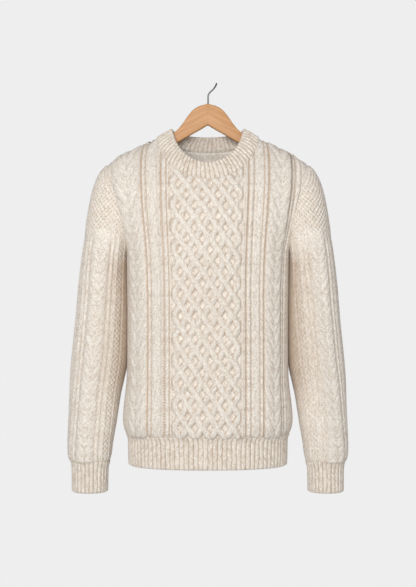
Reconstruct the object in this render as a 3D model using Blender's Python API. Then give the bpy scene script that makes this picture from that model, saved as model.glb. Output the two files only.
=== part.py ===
"""A cable knit crew-neck sweater on a wooden hanger with a wire hook.

Eight knitted pieces and the two pieces of the hanger, each a closed solid of
its own. The front faces -Y. Sizes are in millimetres here and become metres
when a mesh is made. They are measured from the middle of the garment across
and front to back, and from just under the hook's top in height; the finished
pieces are then moved so that the rail's place in the hook is the origin.

A panel or sleeve starts as a flat pattern, u across and v up along the cloth,
with its cables, ribs and lattice drawn as points and lines. The pattern is cut
into triangles and laid on the garment's form, the outer points raised by the
knit's relief and the inner ones left plain.
"""

import math
from collections import namedtuple

import bmesh
import bpy
import numpy as np
from mathutils import Vector
from mathutils.geometry import delaunay_2d_cdt

MM = 0.001

# The rail's place in the hook, from the middle of the garment.
RAIL = np.array([17.8, 15.0, 2.6])

WALL = 3.0
COLLAR_WALL = 4.5
SEAM_GAP = 0.4
# Points stand this far in from the shoulder seam, where the cloth turns over it.
SHOULDER_ROWS = (4.0, 12.0)
# The relief sinks to nothing this near a seam.
SEAM_FADE = 10.0
# Plain stretches of a pattern have a point this often, clear of the knit's own.
FILL_ACROSS = 24.0
FILL_UP = 24.0
FILL_CLEAR = 11.0

# Heights of the seams and edges.
NECK_SIDE_Z = -109.7
SHOULDER_TIP_Z = -166.0
ARMPIT_Z = -344.0
HEM_SEAM_Z = -714.4
HEM_Z = -778.0
CUFF_SEAM_Z = -771.0
CUFF_Z = -833.8

# The body is a rounded box in plan at each height: how far its front and back
# stand from the middle, and how square its corners are.
Section = namedtuple("Section", "z front back power")
BODY = [
    Section(-780.0, 99.0, 86.0, 2.3),
    Section(-724.0, 101.0, 88.0, 2.3),
    Section(-705.0, 109.0, 95.0, 2.5),
    Section(-680.0, 113.0, 98.0, 2.5),
    Section(-560.0, 111.0, 96.0, 2.45),
    Section(-420.0, 108.0, 94.0, 2.4),
    Section(-340.0, 105.0, 91.0, 2.4),
    Section(-270.0, 97.0, 85.0, 2.35),
    Section(-230.0, 87.0, 78.0, 2.35),
    Section(-200.0, 75.0, 71.0, 2.35),
    Section(-166.0, 54.0, 60.0, 2.35),
    Section(-133.0, 33.0, 45.0, 2.35),
    Section(-120.0, 24.0, 34.0, 2.35),
    Section(-104.0, 15.0, 17.0, 2.35),
]

# The side seam, the armhole and the shoulder seam, seen from the front.
Edge = namedtuple("Edge", "z x")
SIDE = [
    Edge(-780.0, 159.5),
    Edge(-765.0, 160.5),
    Edge(-724.0, 161.5),
    Edge(-705.0, 170.0),
    Edge(-684.0, 173.5),
    Edge(-655.0, 171.5),
    Edge(-590.0, 165.5),
    Edge(-344.0, 165.0),
    Edge(-297.0, 168.0),
    Edge(-262.0, 175.0),
    Edge(-233.0, 184.0),
    Edge(-205.0, 194.0),
    Edge(-185.0, 200.0),
    Edge(-166.0, 204.0),
]
SHOULDER = [
    Edge(-166.0, 204.0),
    Edge(-162.0, 199.5),
    Edge(-154.2, 186.0),
    Edge(-143.0, 163.5),
    Edge(-130.0, 138.0),
    Edge(-117.0, 115.0),
    Edge(-109.7, 103.5),
    Edge(-104.0, 92.0),
]
ARMHOLE_DEPTH = 52.0

# The neck seam and the collar's top edge are ovals that dip in front.
Neck = namedtuple("Neck", "half_width side_z front_dip back_dip")
NECK_SEAM = Neck(103.5, NECK_SIDE_Z, 90.3, 23.6)
COLLAR_TOP = Neck(72.0, -91.4, 72.9, 11.9)
COLLAR_TOP_FRONT = 66.0
COLLAR_TOP_BACK = 40.0
COLLAR_BULGE = 1.2
NECK_REST = 0.02

# A sleeve's plan at each height below the armpit, inner and outer side and
# half its depth.
Arm = namedtuple("Arm", "z inner outer half_depth")
ARM = [
    Arm(-833.8, 206.5, 276.5, 34.0),
    Arm(-785.0, 205.5, 277.0, 34.5),
    Arm(-771.0, 201.5, 279.5, 38.0),
    Arm(-757.0, 197.5, 284.0, 42.0),
    Arm(-735.0, 195.0, 285.0, 44.0),
    Arm(-700.0, 190.0, 284.5, 46.0),
    Arm(-648.0, 183.0, 282.5, 49.0),
    Arm(-600.0, 174.5, 280.5, 52.0),
    Arm(-565.0, 168.2, 278.0, 53.0),
    Arm(-529.0, 166.8, 275.0, 54.0),
    Arm(-443.0, 166.6, 265.5, 56.0),
    Arm(-372.0, 167.0, 257.5, 56.0),
]
ARM_POWER = 2.1
FAN_START = (0.54, -0.235)
FAN_END = (0.1, -1.0)

# Knitted columns across the front, from its left to its right. The back has
# them as a mirror image. The lattice's crossings lie on even columns and rows.
Rib = namedtuple("Rib", "place half_width height")
Cable = namedtuple("Cable", "place half_width height pitch slope")
LATTICE_LEFT = -68.6
LATTICE_RIGHT = 63.1
LATTICE_COLUMNS = 9
LATTICE_RISE = 21.9
STRAND_HALF_WIDTH = 4.4
STRAND_HEIGHT = 3.0
BODY_RIBS = [
    Rib(-185.0, 3.0, 1.6),
    Rib(-118.4, 3.0, 1.8),
    Rib(-90.0, 2.6, 1.6),
    Rib(-81.2, 3.6, 2.2),
    Rib(-72.6, 2.6, 1.4),
    Rib(72.4, 2.6, 1.6),
    Rib(80.6, 3.8, 2.2),
    Rib(108.0, 3.2, 1.8),
    Rib(163.0, 3.0, 1.6),
]
BODY_CABLES = [Cable(-149.0, 24.0, 4.2, 31.0, 2.0), Cable(137.0, 21.0, 4.2, 31.0, 2.0)]
SPREAD = 0.10
SPREAD_FROM = -443.0
SPREAD_TO = -156.0

# A sleeve's columns, from the middle of its cable.
ARM_CABLE = Cable(0.0, 19.5, 3.2, 19.5, 1.6)
ARM_RIBS = [Rib(-31.0, 3.0, 1.6), Rib(-24.5, 2.6, 1.4), Rib(24.5, 2.6, 1.4), Rib(31.0, 3.0, 1.6)]
# The cap above the cable is plain, and the columns fade out between these.
ARM_FADE_FROM = 432.0
ARM_FADE_TO = 482.0
ARM_TURN_TOP = 0.240
ARM_TURN_CUFF = {1: 0.170, -1: 0.215}

HEM_RIBS = 88
COLLAR_RIBS = 62
CUFF_RIBS = 26
RIB_DEPTH = 1.6

# The hanger's outline seen from the front: half of it, from the middle.
Point = namedtuple("Point", "x z")
WOOD_TOP = [
    Point(0.0, -41.0),
    Point(16.0, -43.4),
    Point(31.6, -53.5),
    Point(41.8, -66.0),
    Point(50.5, -78.8),
    Point(60.0, -91.3),
    Point(74.4, -104.0),
    Point(104.5, -119.6),
    Point(138.0, -137.4),
    Point(164.0, -150.6),
    Point(185.0, -162.0),
    Point(195.0, -168.5),
    Point(199.0, -174.0),
]
WOOD_BOTTOM = [
    Point(198.0, -179.5),
    Point(191.0, -183.0),
    Point(150.0, -165.0),
    Point(104.5, -142.4),
    Point(66.0, -122.2),
    Point(34.4, -103.5),
    Point(8.0, -88.6),
    Point(0.0, -86.5),
]
WOOD_THICKNESS = 12.0
WOOD_ROUND = 4.5

WIRE_RADIUS = 1.6
HOOK_BEND = 15.0
BORE_DEPTH = 16.0
BORE_RADIUS = 2.0
# The wire's rise from the wood to the hook's top, seen from the front.
HOOK_RISE = [
    Point(0.6, -55.0),
    Point(0.6, -25.0),
    Point(1.3, -21.3),
    Point(3.8, -17.0),
    Point(8.0, -12.9),
    Point(11.8, -9.2),
    Point(15.1, -4.5),
    Point(17.2, -0.5),
    Point(17.8, 3.0),
]
HOOK_TIP_Z = -24.0
# For an eye this far in front and this high, the loop stands behind the rise.
EYE_AWAY = 2600.0
EYE_Z = -429.5

Finish = namedtuple("Finish", "name colour roughness metallic")
WOOL = Finish("cream wool", (0.74, 0.68, 0.60), 0.95, 0.0)
BEECH = Finish("varnished beech", (0.62, 0.36, 0.19), 0.4, 0.0)
STEEL = Finish("dark steel wire", (0.18, 0.17, 0.17), 0.35, 1.0)


# Curves and tables


def curve_through(knots, values, at):
    """A smooth curve through the knots that never overshoots them."""
    knots, values = np.asarray(knots, float), np.asarray(values, float)
    steps = np.diff(knots)
    slopes = np.diff(values) / steps
    before, after = slopes[:-1], slopes[1:]
    turns = before * after <= 0
    mean = 2.0 * before * after / np.where(turns, 1.0, before + after)
    tangents = np.concatenate([slopes[:1], np.where(turns, 0.0, mean), slopes[-1:]])
    at = np.clip(at, knots[0], knots[-1])
    span = np.clip(np.searchsorted(knots, at, side="right") - 1, 0, len(steps) - 1)
    step = steps[span]
    t = (at - knots[span]) / step
    return (
        values[span] * (2 * t**3 - 3 * t**2 + 1)
        + tangents[span] * step * (t**3 - 2 * t**2 + t)
        + values[span + 1] * (3 * t**2 - 2 * t**3)
        + tangents[span + 1] * step * (t**3 - t**2)
    )


def column_of(table, name, at):
    """A named column of a table of sections, read at any height."""
    return curve_through([row.z for row in table], [getattr(row, name) for row in table], at)


def ease(at, start, end):
    """0 at start and 1 at end, with soft ends."""
    t = np.clip((at - start) / (end - start), 0.0, 1.0)
    return t * t * (3.0 - 2.0 * t)


def evenly(points, shares):
    """Points at these shares of a polyline's length, and its length."""
    steps = np.linalg.norm(np.diff(points, axis=0), axis=1)
    along = np.concatenate([[0.0], np.cumsum(steps)])
    placed = [np.interp(shares * along[-1], along, points[:, axis]) for axis in range(3)]
    return np.stack(placed, axis=1), along[-1]


class Grid:
    """A table of points in rows and columns, read between them."""

    def __init__(self, rows, columns, points):
        self.rows, self.columns, self.points = rows, columns, points

    def at(self, row, column):
        r = np.interp(row, self.rows, np.arange(len(self.rows)))
        c = np.interp(column, self.columns, np.arange(len(self.columns)))
        r0 = np.minimum(r.astype(int), len(self.rows) - 2)
        c0 = np.minimum(c.astype(int), len(self.columns) - 2)
        r, c = (r - r0)[:, None], (c - c0)[:, None]
        low = self.points[r0, c0] * (1 - c) + self.points[r0, c0 + 1] * c
        high = self.points[r0 + 1, c0] * (1 - c) + self.points[r0 + 1, c0 + 1] * c
        return low * (1 - r) + high * r


# The garment's form


def edge_x(z):
    """How far out a body panel's edge lies: side seam, armhole or shoulder seam."""
    if z > SHOULDER_TIP_Z:
        return float(column_of(SHOULDER, "x", z))
    return float(column_of(SIDE, "x", z))


def armhole_depth(z):
    """How far a panel's edge stands from the middle plane, at the armhole."""
    middle = (SHOULDER_TIP_Z + ARMPIT_Z) / 2
    share = (z - middle) / (SHOULDER_TIP_Z - middle)
    return ARMHOLE_DEPTH * math.sqrt(max(0.0, 1.0 - share * share))


class Body:
    """The front or back half of the body, as a sheet with u across and z up."""

    LEVELS = np.arange(-780.0, -105.0, 3.0)
    SHARES = np.linspace(0.0, 1.0, 121)

    def __init__(self, name):
        self.facing = -1.0 if name == "front" else 1.0
        rows, widths = [], []
        for z in self.LEVELS:
            depth = float(column_of(BODY, name, z))
            power = float(column_of(BODY, "power", z))
            out, stand = edge_x(z), armhole_depth(z)
            reach = out / (1.0 - (stand / depth) ** power) ** (1.0 / power)
            last = math.asin(min(1.0, (out / reach) ** (power / 2.0)))
            turn = np.linspace(0.0, last, 241)
            x = reach * np.sin(turn) ** (2.0 / power)
            y = depth * np.maximum(np.cos(turn), 0.0) ** (2.0 / power)
            if stand == 0.0:
                y[-1] = 0.0
            points, width = evenly(np.stack([x, y, np.full_like(x, z)], axis=1), self.SHARES)
            rows.append(points)
            widths.append(width)
        self.widths = np.array(widths)
        self.grid = Grid(self.LEVELS, self.SHARES, np.array(rows))

    def half_width(self, z):
        return np.interp(z, self.LEVELS, self.widths)

    def place(self, flat):
        u, z = flat[:, 0], flat[:, 1]
        share = np.clip(np.abs(u) / self.half_width(z), 0.0, 1.0)
        points = self.grid.at(z, share)
        across = np.sign(u) * -self.facing
        return np.stack([points[:, 0] * across, points[:, 1] * self.facing, z], axis=1)

    def seam_clear(self, points):
        """Keeps the panel on its own side of the side and shoulder seams."""
        points[:, 1] = self.facing * np.maximum(points[:, 1] * self.facing, SEAM_GAP / 2)
        return points

    def share_at(self, x, z):
        """The share of the half width at which the sheet is this far out."""
        row = self.grid.at(np.full(len(self.SHARES), z), self.SHARES)
        return float(np.interp(abs(x), row[:, 0], self.SHARES))


FRONT = Body("front")
BACK = Body("back")


def neck_dip(turn):
    """0 over the hanger's arms and 1 at the middle of the front or back."""
    lift = math.sqrt(NECK_REST)
    return (np.sqrt(np.sin(turn) ** 2 + NECK_REST) - lift) / (math.sqrt(1 + NECK_REST) - lift)


def neck_oval(neck, turn):
    """x and z round the neck, from the left side by the front to the right, then the back."""
    dip = np.where(np.sin(turn) >= 0.0, neck.front_dip, neck.back_dip)
    return -neck.half_width * np.cos(turn), neck.side_z - dip * neck_dip(turn)


def neck_seam(turn):
    """The points of the neck seam on the body."""
    xs, zs = neck_oval(NECK_SEAM, turn)
    points = []
    for x, z, side in zip(xs, zs, np.sin(turn)):
        half = FRONT if side >= 0.0 else BACK
        z = min(z, half.LEVELS[-1])
        share = half.share_at(x, z)
        y = half.grid.at(np.array([z]), np.array([share]))[0, 1]
        points.append((x, half.facing * y, z))
    return np.array(points)


def armhole_loop(shares):
    """Points round the armhole at x > 0: 0 at the shoulder, 0.25 at the back, +-0.5 at the armpit."""
    turn = np.linspace(-math.pi, math.pi, 361)
    middle = (SHOULDER_TIP_Z + ARMPIT_Z) / 2
    z = middle + (SHOULDER_TIP_Z - middle) * np.cos(turn)
    x = np.array([float(column_of(SIDE, "x", height)) for height in z])
    return evenly(np.stack([x, ARMHOLE_DEPTH * np.sin(turn), z], axis=1), shares + 0.5)[0]


def arm_ring(z, shares):
    """A level ring of the sleeve at x > 0, from the inner side by front, outside and back."""
    inner, outer = (float(column_of(ARM, side, z)) for side in ("inner", "outer"))
    depth = float(column_of(ARM, "half_depth", z))
    turn = np.linspace(-math.pi, math.pi, 361)
    cos, sin = np.cos(turn), np.sin(turn)
    x = (inner + outer) / 2 + (outer - inner) / 2 * np.sign(cos) * np.abs(cos) ** (2 / ARM_POWER)
    y = depth * np.sign(sin) * np.abs(sin) ** (2 / ARM_POWER)
    return evenly(np.stack([x, y, np.full_like(x, z)], axis=1), shares + 0.5)[0]


class Sleeve:
    """A sleeve from cuff seam to armhole, with u round it and v up along it."""

    SHARES = np.linspace(-0.5, 0.5, 121)
    FAN_STEPS = 24
    RISES = np.linspace(0.0, 1.0, 121)

    def __init__(self, side):
        self.side = side
        top = ARM[-1].z
        level = np.arange(CUFF_SEAM_Z, top + 1.0, (top - CUFF_SEAM_Z) / 40)
        rings = [arm_ring(z, self.SHARES) for z in level]
        start, end = armhole_loop(self.SHARES), rings[-1]
        start = start + np.array([SEAM_GAP, 0.0, 0.0])
        chord = np.linalg.norm(end - start, axis=1)[:, None]
        leave = chord * np.array([FAN_START[0], 0.0, FAN_START[1]])
        arrive = chord * np.array([FAN_END[0], 0.0, FAN_END[1]])
        for t in np.linspace(1.0, 0.0, self.FAN_STEPS + 1)[1:]:
            rings.append(
                start * (2 * t**3 - 3 * t**2 + 1)
                + leave * (t**3 - 2 * t**2 + t)
                + end * (3 * t**2 - 2 * t**3)
                + arrive * (t**3 - t**2)
            )
        rings = np.array(rings)
        columns = [evenly(rings[:, i], self.RISES) for i in range(len(self.SHARES))]
        self.lengths = np.array([length for _, length in columns])
        self.grid = Grid(self.RISES, self.SHARES, np.stack([p for p, _ in columns], axis=1))
        girths = np.linalg.norm(np.diff(rings, axis=1), axis=2).sum(axis=1)
        crown = rings[:, len(self.SHARES) // 2]
        climbs = np.linalg.norm(np.diff(crown, axis=0), axis=1)
        self.crown = np.concatenate([[0.0], np.cumsum(climbs)])
        self.girths = girths

    def girth(self, v):
        return np.interp(v, self.crown, self.girths)

    def length(self, share):
        return np.interp(share, self.SHARES, self.lengths)

    def place(self, flat):
        u, v = flat[:, 0], flat[:, 1]
        share = self.side * u / self.girth(v)
        share = (share + 0.5) % 1.0 - 0.5
        points = self.grid.at(v / self.length(share), share)
        return points * np.array([self.side, 1.0, 1.0])

    def cable_middle(self, v):
        """Where the middle of the cable lies, in u."""
        turn = ARM_TURN_TOP + (ARM_TURN_CUFF[self.side] - ARM_TURN_TOP) * (
            1.0 - v / self.lengths.max()
        )
        return -self.side * turn * self.girth(v)


def normals_of(place, flat):
    """The way out of the cloth at each point of the pattern."""
    step = 1.5
    across = place(flat + [step, 0.0]) - place(flat - [step, 0.0])
    along = place(flat + [0.0, step]) - place(flat - [0.0, step])
    out = np.cross(across, along)
    return out / np.maximum(np.linalg.norm(out, axis=1)[:, None], 1e-9)


# The knit's relief, and the pattern's points and lines


def ridge(distance, half_width):
    return np.maximum(0.0, 1.0 - np.abs(distance) / half_width)


def zigzag(turns):
    """1 at whole turns and 0 half way between them."""
    return np.abs(2.0 * ((turns % 1.0) - 0.5))


def cable_height(cable, w, v):
    """Nested V's with their points down, each arm a plump leaf."""
    share = np.abs(w - cable.place) / cable.half_width
    swell = np.interp(share, [0.0, 0.5, 1.0], [0.55, 1.0, 0.0])
    turns = (v - cable.slope * np.abs(w - cable.place)) / cable.pitch
    return cable.height * swell * (0.4 + 0.6 * zigzag(turns))


def lattice_height(w, v):
    """Crossing strands, the ground between them low."""
    step = (LATTICE_RIGHT - LATTICE_LEFT) / LATTICE_COLUMNS
    far = step * LATTICE_RISE / math.hypot(step, LATTICE_RISE)
    height = np.zeros_like(w)
    for lean in (1.0, -1.0):
        strand = ((w - LATTICE_LEFT) / step + lean * v / LATTICE_RISE - 1.0) / 2.0
        off = (strand - np.round(strand)) * 2.0 * far
        height = np.maximum(height, STRAND_HEIGHT * ridge(off, STRAND_HALF_WIDTH))
    inside = (w > LATTICE_LEFT - 0.1) & (w < LATTICE_RIGHT + 0.1)
    return height * inside


class Pattern:
    """Points of a flat pattern and the lines that join them."""

    def __init__(self):
        self.points, self.edges = [], []

    def line(self, points):
        first = len(self.points)
        self.points += points
        self.edges += [(first + i, first + i + 1) for i in range(len(points) - 1)]

    def rib(self, rib, heights):
        for place in (rib.place - rib.half_width, rib.place, rib.place + rib.half_width):
            self.line([(place, v) for v in heights])

    def cable(self, cable, low, high):
        offsets = [share * cable.half_width for share in (-1.0, -0.5, 0.0, 0.5, 1.0)]
        first = math.floor(low / cable.pitch) * 2
        for half_turn in range(first, math.ceil(high / cable.pitch) * 2 + 1):
            v = half_turn * cable.pitch / 2.0
            self.line([(cable.place + w, v + cable.slope * abs(w)) for w in offsets])

    def lattice(self, low, high):
        step = (LATTICE_RIGHT - LATTICE_LEFT) / LATTICE_COLUMNS
        far = step * LATTICE_RISE / math.hypot(step, LATTICE_RISE)
        share = 1.0 - STRAND_HALF_WIDTH / far
        corners = [(-1.0, 0.0), (0.0, -1.0), (1.0, 0.0), (0.0, 1.0), (-1.0, 0.0)]
        for column in range(1, LATTICE_COLUMNS):
            w = LATTICE_LEFT + column * step
            first = math.floor(low / LATTICE_RISE)
            for row in range(first, math.ceil(high / LATTICE_RISE) + 1):
                if (column + row) % 2:
                    continue
                v = row * LATTICE_RISE
                for size in (1.0, share):
                    self.line([(w + a * step * size, v + b * LATTICE_RISE * size) for a, b in corners])


def spread(z):
    """How much wider the knitted columns lie towards the shoulders."""
    return 1.0 + SPREAD * ease(z, SPREAD_FROM, SPREAD_TO)


def body_relief(flat):
    w, v = flat[:, 0] / spread(flat[:, 1]), flat[:, 1] - HEM_SEAM_Z
    height = lattice_height(w, v)
    for rib in BODY_RIBS:
        height = np.maximum(height, rib.height * ridge(w - rib.place, rib.half_width))
    for cable in BODY_CABLES:
        near = np.abs(w - cable.place) <= cable.half_width
        height = np.where(near, np.maximum(height, cable_height(cable, w, v)), height)
    return height


def arm_relief(sleeve, flat):
    w, v = flat[:, 0] - sleeve.cable_middle(flat[:, 1]), flat[:, 1]
    height = np.zeros_like(w)
    for rib in ARM_RIBS:
        height = np.maximum(height, rib.height * ridge(w - rib.place, rib.half_width))
    near = np.abs(w) <= ARM_CABLE.half_width
    height = np.where(near, cable_height(ARM_CABLE, w, v), height)
    return height * (1.0 - ease(v, ARM_FADE_FROM, ARM_FADE_TO))


# Cutting and meshing


def clearance(outline, points):
    """How far each point lies from the outline."""
    start = outline
    run = np.roll(outline, -1, axis=0) - start
    away = np.asarray(points)[:, None] - start
    share = np.clip((away * run).sum(axis=2) / (run * run).sum(axis=1), 0.0, 1.0)
    return np.linalg.norm(away - run * share[:, :, None], axis=2).min(axis=1)


def inside(outline, points, margin):
    """Which points lie inside the outline and clear of it by the margin."""
    start, end = outline, np.roll(outline, -1, axis=0)
    run = end - start
    x, y = np.asarray(points)[:, :1], np.asarray(points)[:, 1:]
    spans = (start[:, 1] > y) != (end[:, 1] > y)
    rise = np.where(run[:, 1] == 0.0, 1.0, run[:, 1])
    crossed = spans & (x < start[:, 0] + (y - start[:, 1]) / rise * run[:, 0])
    return (crossed.sum(axis=1) % 2 == 1) & (clearance(outline, points) > margin)


def triangles(outline, points, edges):
    """Triangles inside the outline that keep the lines, and each corner's input points."""
    count = len(outline)
    corners = [Vector(p) for p in outline] + [Vector(p) for p in points]
    lines = [(a + count, b + count) for a, b in edges]
    found = delaunay_2d_cdt(corners, lines, [list(range(count))], 1, 1e-3)
    places, faces, origins = np.array([tuple(p) for p in found[0]]), found[2], found[3]
    turned = []
    for face in faces:
        a, b, c = (places[i] for i in face)
        area = (b[0] - a[0]) * (c[1] - a[1]) - (c[0] - a[0]) * (b[1] - a[1])
        turned.append(tuple(face) if area > 0 else tuple(reversed(face)))
    return places, turned, origins


def border(faces):
    """The corners round the triangles' outer edge, in order."""
    edges = {(f[i], f[(i + 1) % 3]) for f in faces for i in range(3)}
    after = {a: b for a, b in edges if (b, a) not in edges}
    first = min(after)
    loop = [first]
    while after[loop[-1]] != first:
        loop.append(after[loop[-1]])
    return loop


def even_points(outline, across, up):
    """An even grid of points over the outline's box, every other row shifted."""
    low, high = outline.min(axis=0), outline.max(axis=0)
    rows = np.arange(low[1] + up / 2, high[1], up)
    return [
        (u + (across / 2 if row % 2 else 0.0), v)
        for row, v in enumerate(rows)
        for u in np.arange(low[0] + across / 2, high[0], across)
    ]


def knit_wall(name, outline, pattern, place, relief, finish, closes=None, tidy=None):
    """A wall over a flat pattern: raised outside, plain inside, closed round its edge."""
    outline = np.array(outline)
    points = np.array(pattern.points)
    spare = np.array(even_points(outline, FILL_ACROSS, FILL_UP))
    nearest = [np.linalg.norm(points - p, axis=1).min() for p in spare]
    points = np.concatenate([points, spare[np.array(nearest) > FILL_CLEAR]])
    kept = inside(outline, points, 3.0)
    renumbered = np.cumsum(kept) - 1
    edges = [
        (int(renumbered[a]), int(renumbered[b]))
        for a, b in pattern.edges
        if kept[a] and kept[b]
    ]
    outer, outer_faces, _ = triangles(outline, points[kept], edges)
    loop = border(outer_faces)
    rim = outer[loop]
    ground = np.array(even_points(rim, 42.0, 42.0))
    ground = ground[inside(rim, ground, 12.0)]
    inner, inner_faces, origins = triangles(rim, ground, [])
    inner_of = {source: i for i, sources in enumerate(origins) for source in sources}
    height = relief(outer) * np.clip(clearance(rim, outer) / SEAM_FADE, 0.0, 1.0)
    raised = place(outer) + normals_of(place, outer) * height[:, None]
    plain = place(inner) - normals_of(place, inner) * WALL
    if tidy:
        raised, plain = tidy(raised), tidy(plain)
    count = len(outer)
    faces = list(outer_faces)
    faces += [tuple(count + i for i in reversed(face)) for face in inner_faces]
    for i, a in enumerate(loop):
        j = (i + 1) % len(loop)
        if closes and closes(rim[i], rim[j]):
            continue
        faces.append((loop[j], a, count + inner_of[i], count + inner_of[j]))
    return mesh_object(name, np.concatenate([raised, plain]), faces, finish)


def from_rail(points):
    """Places in metres from the rail, given in millimetres from the garment's middle."""
    return (np.asarray(points, float) - RAIL) * MM


def mesh_object(name, points, faces, finish):
    """An object from points in millimetres about the garment's middle."""
    mesh = bpy.data.meshes.new(name)
    mesh.from_pydata([tuple(p) for p in from_rail(points)], [], faces)
    shaped = bmesh.new()
    shaped.from_mesh(mesh)
    bmesh.ops.remove_doubles(shaped, verts=shaped.verts, dist=1e-6)
    shaped.to_mesh(mesh)
    shaped.free()
    mesh.materials.append(material(finish))
    mesh.shade_smooth()
    mesh.set_sharp_from_angle(angle=math.radians(50.0))
    made = bpy.data.objects.new(name, mesh)
    bpy.context.scene.collection.objects.link(made)
    return made


def material(finish):
    """A Principled material, made once for each finish."""
    made = bpy.data.materials.get(finish.name)
    if made is None:
        made = bpy.data.materials.new(finish.name)
        made.use_nodes = True
        shader = made.node_tree.nodes["Principled BSDF"]
        shader.inputs["Base Color"].default_value = (*finish.colour, 1.0)
        shader.inputs["Roughness"].default_value = finish.roughness
        shader.inputs["Metallic"].default_value = finish.metallic
    return made


# The pieces


def rows_between(low, high, step):
    count = max(1, round((high - low) / step))
    return list(np.linspace(low, high, count + 1))


def body_outline(half, name):
    """The panel's edge, anticlockwise from its lower left corner."""
    low = HEM_SEAM_Z + SEAM_GAP / 2
    middle = (SHOULDER_TIP_Z + ARMPIT_Z) / 2
    turns = np.linspace(math.pi, 0.0, 18)[1:]
    armhole = [middle + (SHOULDER_TIP_Z - middle) * math.cos(turn) for turn in turns]
    sides = rows_between(low, ARMPIT_Z, 36.0) + armhole
    tops = rows_between(SHOULDER_TIP_Z, NECK_SIDE_Z - 1.0, 9.0)[1:]
    right = [(float(half.half_width(z)), z) for z in sides + tops]
    start, end = (math.pi, 0.0) if name == "front" else (2.0 * math.pi, math.pi)
    neck = []
    for turn in np.linspace(start, end, 29)[1:-1]:
        x, z = neck_oval(NECK_SEAM, np.array([turn]))
        share = half.share_at(x[0], z[0])
        way = math.copysign(1.0, x[0]) * -half.facing
        neck.append((way * share * float(half.half_width(z[0])), float(z[0])))
    foot = float(half.half_width(low))
    hem = [(u, low) for u in np.linspace(-foot, foot, 33)[1:-1]]
    left = [(-u, z) for u, z in reversed(right)]
    return right + neck + left + hem


def make_body_panel(name, half):
    low, high = HEM_SEAM_Z, NECK_SIDE_Z
    pattern = Pattern()
    pattern.lattice(0.0, high - low)
    for rib in BODY_RIBS:
        pattern.rib(rib, rows_between(8.0, high - low, 32.0))
    for cable in BODY_CABLES:
        pattern.cable(cable, 0.0, high - low)
    heights = np.array([v for _, v in pattern.points]) + low
    wide = spread(heights)
    pattern.points = [
        (w * stretch, z) for (w, _), z, stretch in zip(pattern.points, heights, wide)
    ]
    for z in rows_between(SHOULDER_TIP_Z - 4.0, NECK_SIDE_Z - 4.0, 9.0):
        for inset in SHOULDER_ROWS:
            u = float(half.half_width(z)) - inset
            pattern.points += [(-u, z), (u, z)]
    return knit_wall(
        name,
        body_outline(half, name),
        pattern,
        half.place,
        body_relief,
        WOOL,
        tidy=half.seam_clear,
    )


def make_sleeve(name, side):
    sleeve = Sleeve(side)
    low = SEAM_GAP
    underarm = float(sleeve.length(0.5))
    heights = rows_between(low, underarm, 36.0)
    right = [(0.5 * float(sleeve.girth(v)), v) for v in heights]
    shares = np.linspace(0.5, -0.5, 45)[1:-1]
    cap = [(s * float(sleeve.girth(sleeve.length(s))), float(sleeve.length(s))) for s in shares]
    left = [(-u, v) for u, v in reversed(right)]
    cuff = [(u, low) for u in np.linspace(left[-1][0], right[0][0], 21)[1:-1]]
    pattern = Pattern()
    top = float(sleeve.lengths.max())
    for rib in ARM_RIBS:
        pattern.rib(rib, rows_between(8.0, top, 30.0))
    pattern.cable(ARM_CABLE, 0.0, top)
    middles = sleeve.cable_middle(np.array([v for _, v in pattern.points]))
    pattern.points = [(w + middle, v) for (w, v), middle in zip(pattern.points, middles)]

    def on_underarm(a, b):
        """Whether an edge of the pattern is one of the two that meet under the arm."""
        ends = np.array([a, b])
        off = np.abs(np.abs(ends[:, 0]) - 0.5 * sleeve.girth(ends[:, 1]))
        return bool((off < 0.01).all() and (ends[:, 1] < underarm + 0.01).all()) and (
            a[0] * b[0] > 0 and abs(a[1] - b[1]) > 1.0
        )

    return knit_wall(
        name,
        right + cap + left + cuff,
        pattern,
        sleeve.place,
        lambda flat: arm_relief(sleeve, flat),
        WOOL,
        closes=on_underarm,
    )


def ring_grid(rings):
    """A Grid of closed rings of points, its rows and columns from 0 to 1."""
    shares = np.linspace(0.0, 1.0, 361)
    rows = [evenly(np.concatenate([ring, ring[:1]]), shares)[0] for ring in rings]
    return Grid(np.linspace(0.0, 1.0, len(rows)), shares, np.array(rows))


def ribbed_band(name, grid, ribs, rows, wall, depth, finish):
    """A closed band of rings with upright ribs outside, plain inside."""

    def place(flat):
        return grid.at(flat[:, 1], flat[:, 0] % 1.0)

    def out(flat):
        reach, lift = 0.002, 0.02
        across = place(flat + [reach, 0.0]) - place(flat - [reach, 0.0])
        above = np.column_stack([flat[:, 0], np.minimum(flat[:, 1] + lift, 1.0)])
        below = np.column_stack([flat[:, 0], np.maximum(flat[:, 1] - lift, 0.0)])
        way = np.cross(across, place(above) - place(below))
        return way / np.linalg.norm(way, axis=1)[:, None]

    heights = np.linspace(0.0, 1.0, rows + 1)
    fine = np.arange(2 * ribs) / (2.0 * ribs)
    coarse = (np.arange(ribs) * 2.0 + 0.5) / (2.0 * ribs)
    points, faces = [], []
    for height in heights:
        flat = np.column_stack([fine, np.full_like(fine, height)])
        raised = np.where(np.arange(2 * ribs) % 2 == 0, 0.0, depth)
        points.append(place(flat) + out(flat) * raised[:, None])
    for height in (0.0, 1.0):
        flat = np.column_stack([coarse, np.full_like(coarse, height)])
        points.append(place(flat) - out(flat) * wall)
    count, inner = 2 * ribs, 2 * ribs * (rows + 1)
    for row in range(rows):
        for i in range(count):
            j = (i + 1) % count
            low, high = row * count, (row + 1) * count
            faces.append((low + i, low + j, high + j, high + i))
    for i in range(ribs):
        j = (i + 1) % ribs
        a, b, c = 2 * i, 2 * i + 1, (2 * i + 2) % count
        foot, head = inner, inner + ribs
        faces.append((foot + j, foot + i, head + i, head + j))
        faces.append((b, a, foot + i))
        faces.append((c, b, foot + i, foot + j))
        top = rows * count
        faces.append((top + a, top + b, head + i))
        faces.append((top + b, top + c, head + j, head + i))
    return mesh_object(name, np.concatenate(points), faces, finish)


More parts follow.
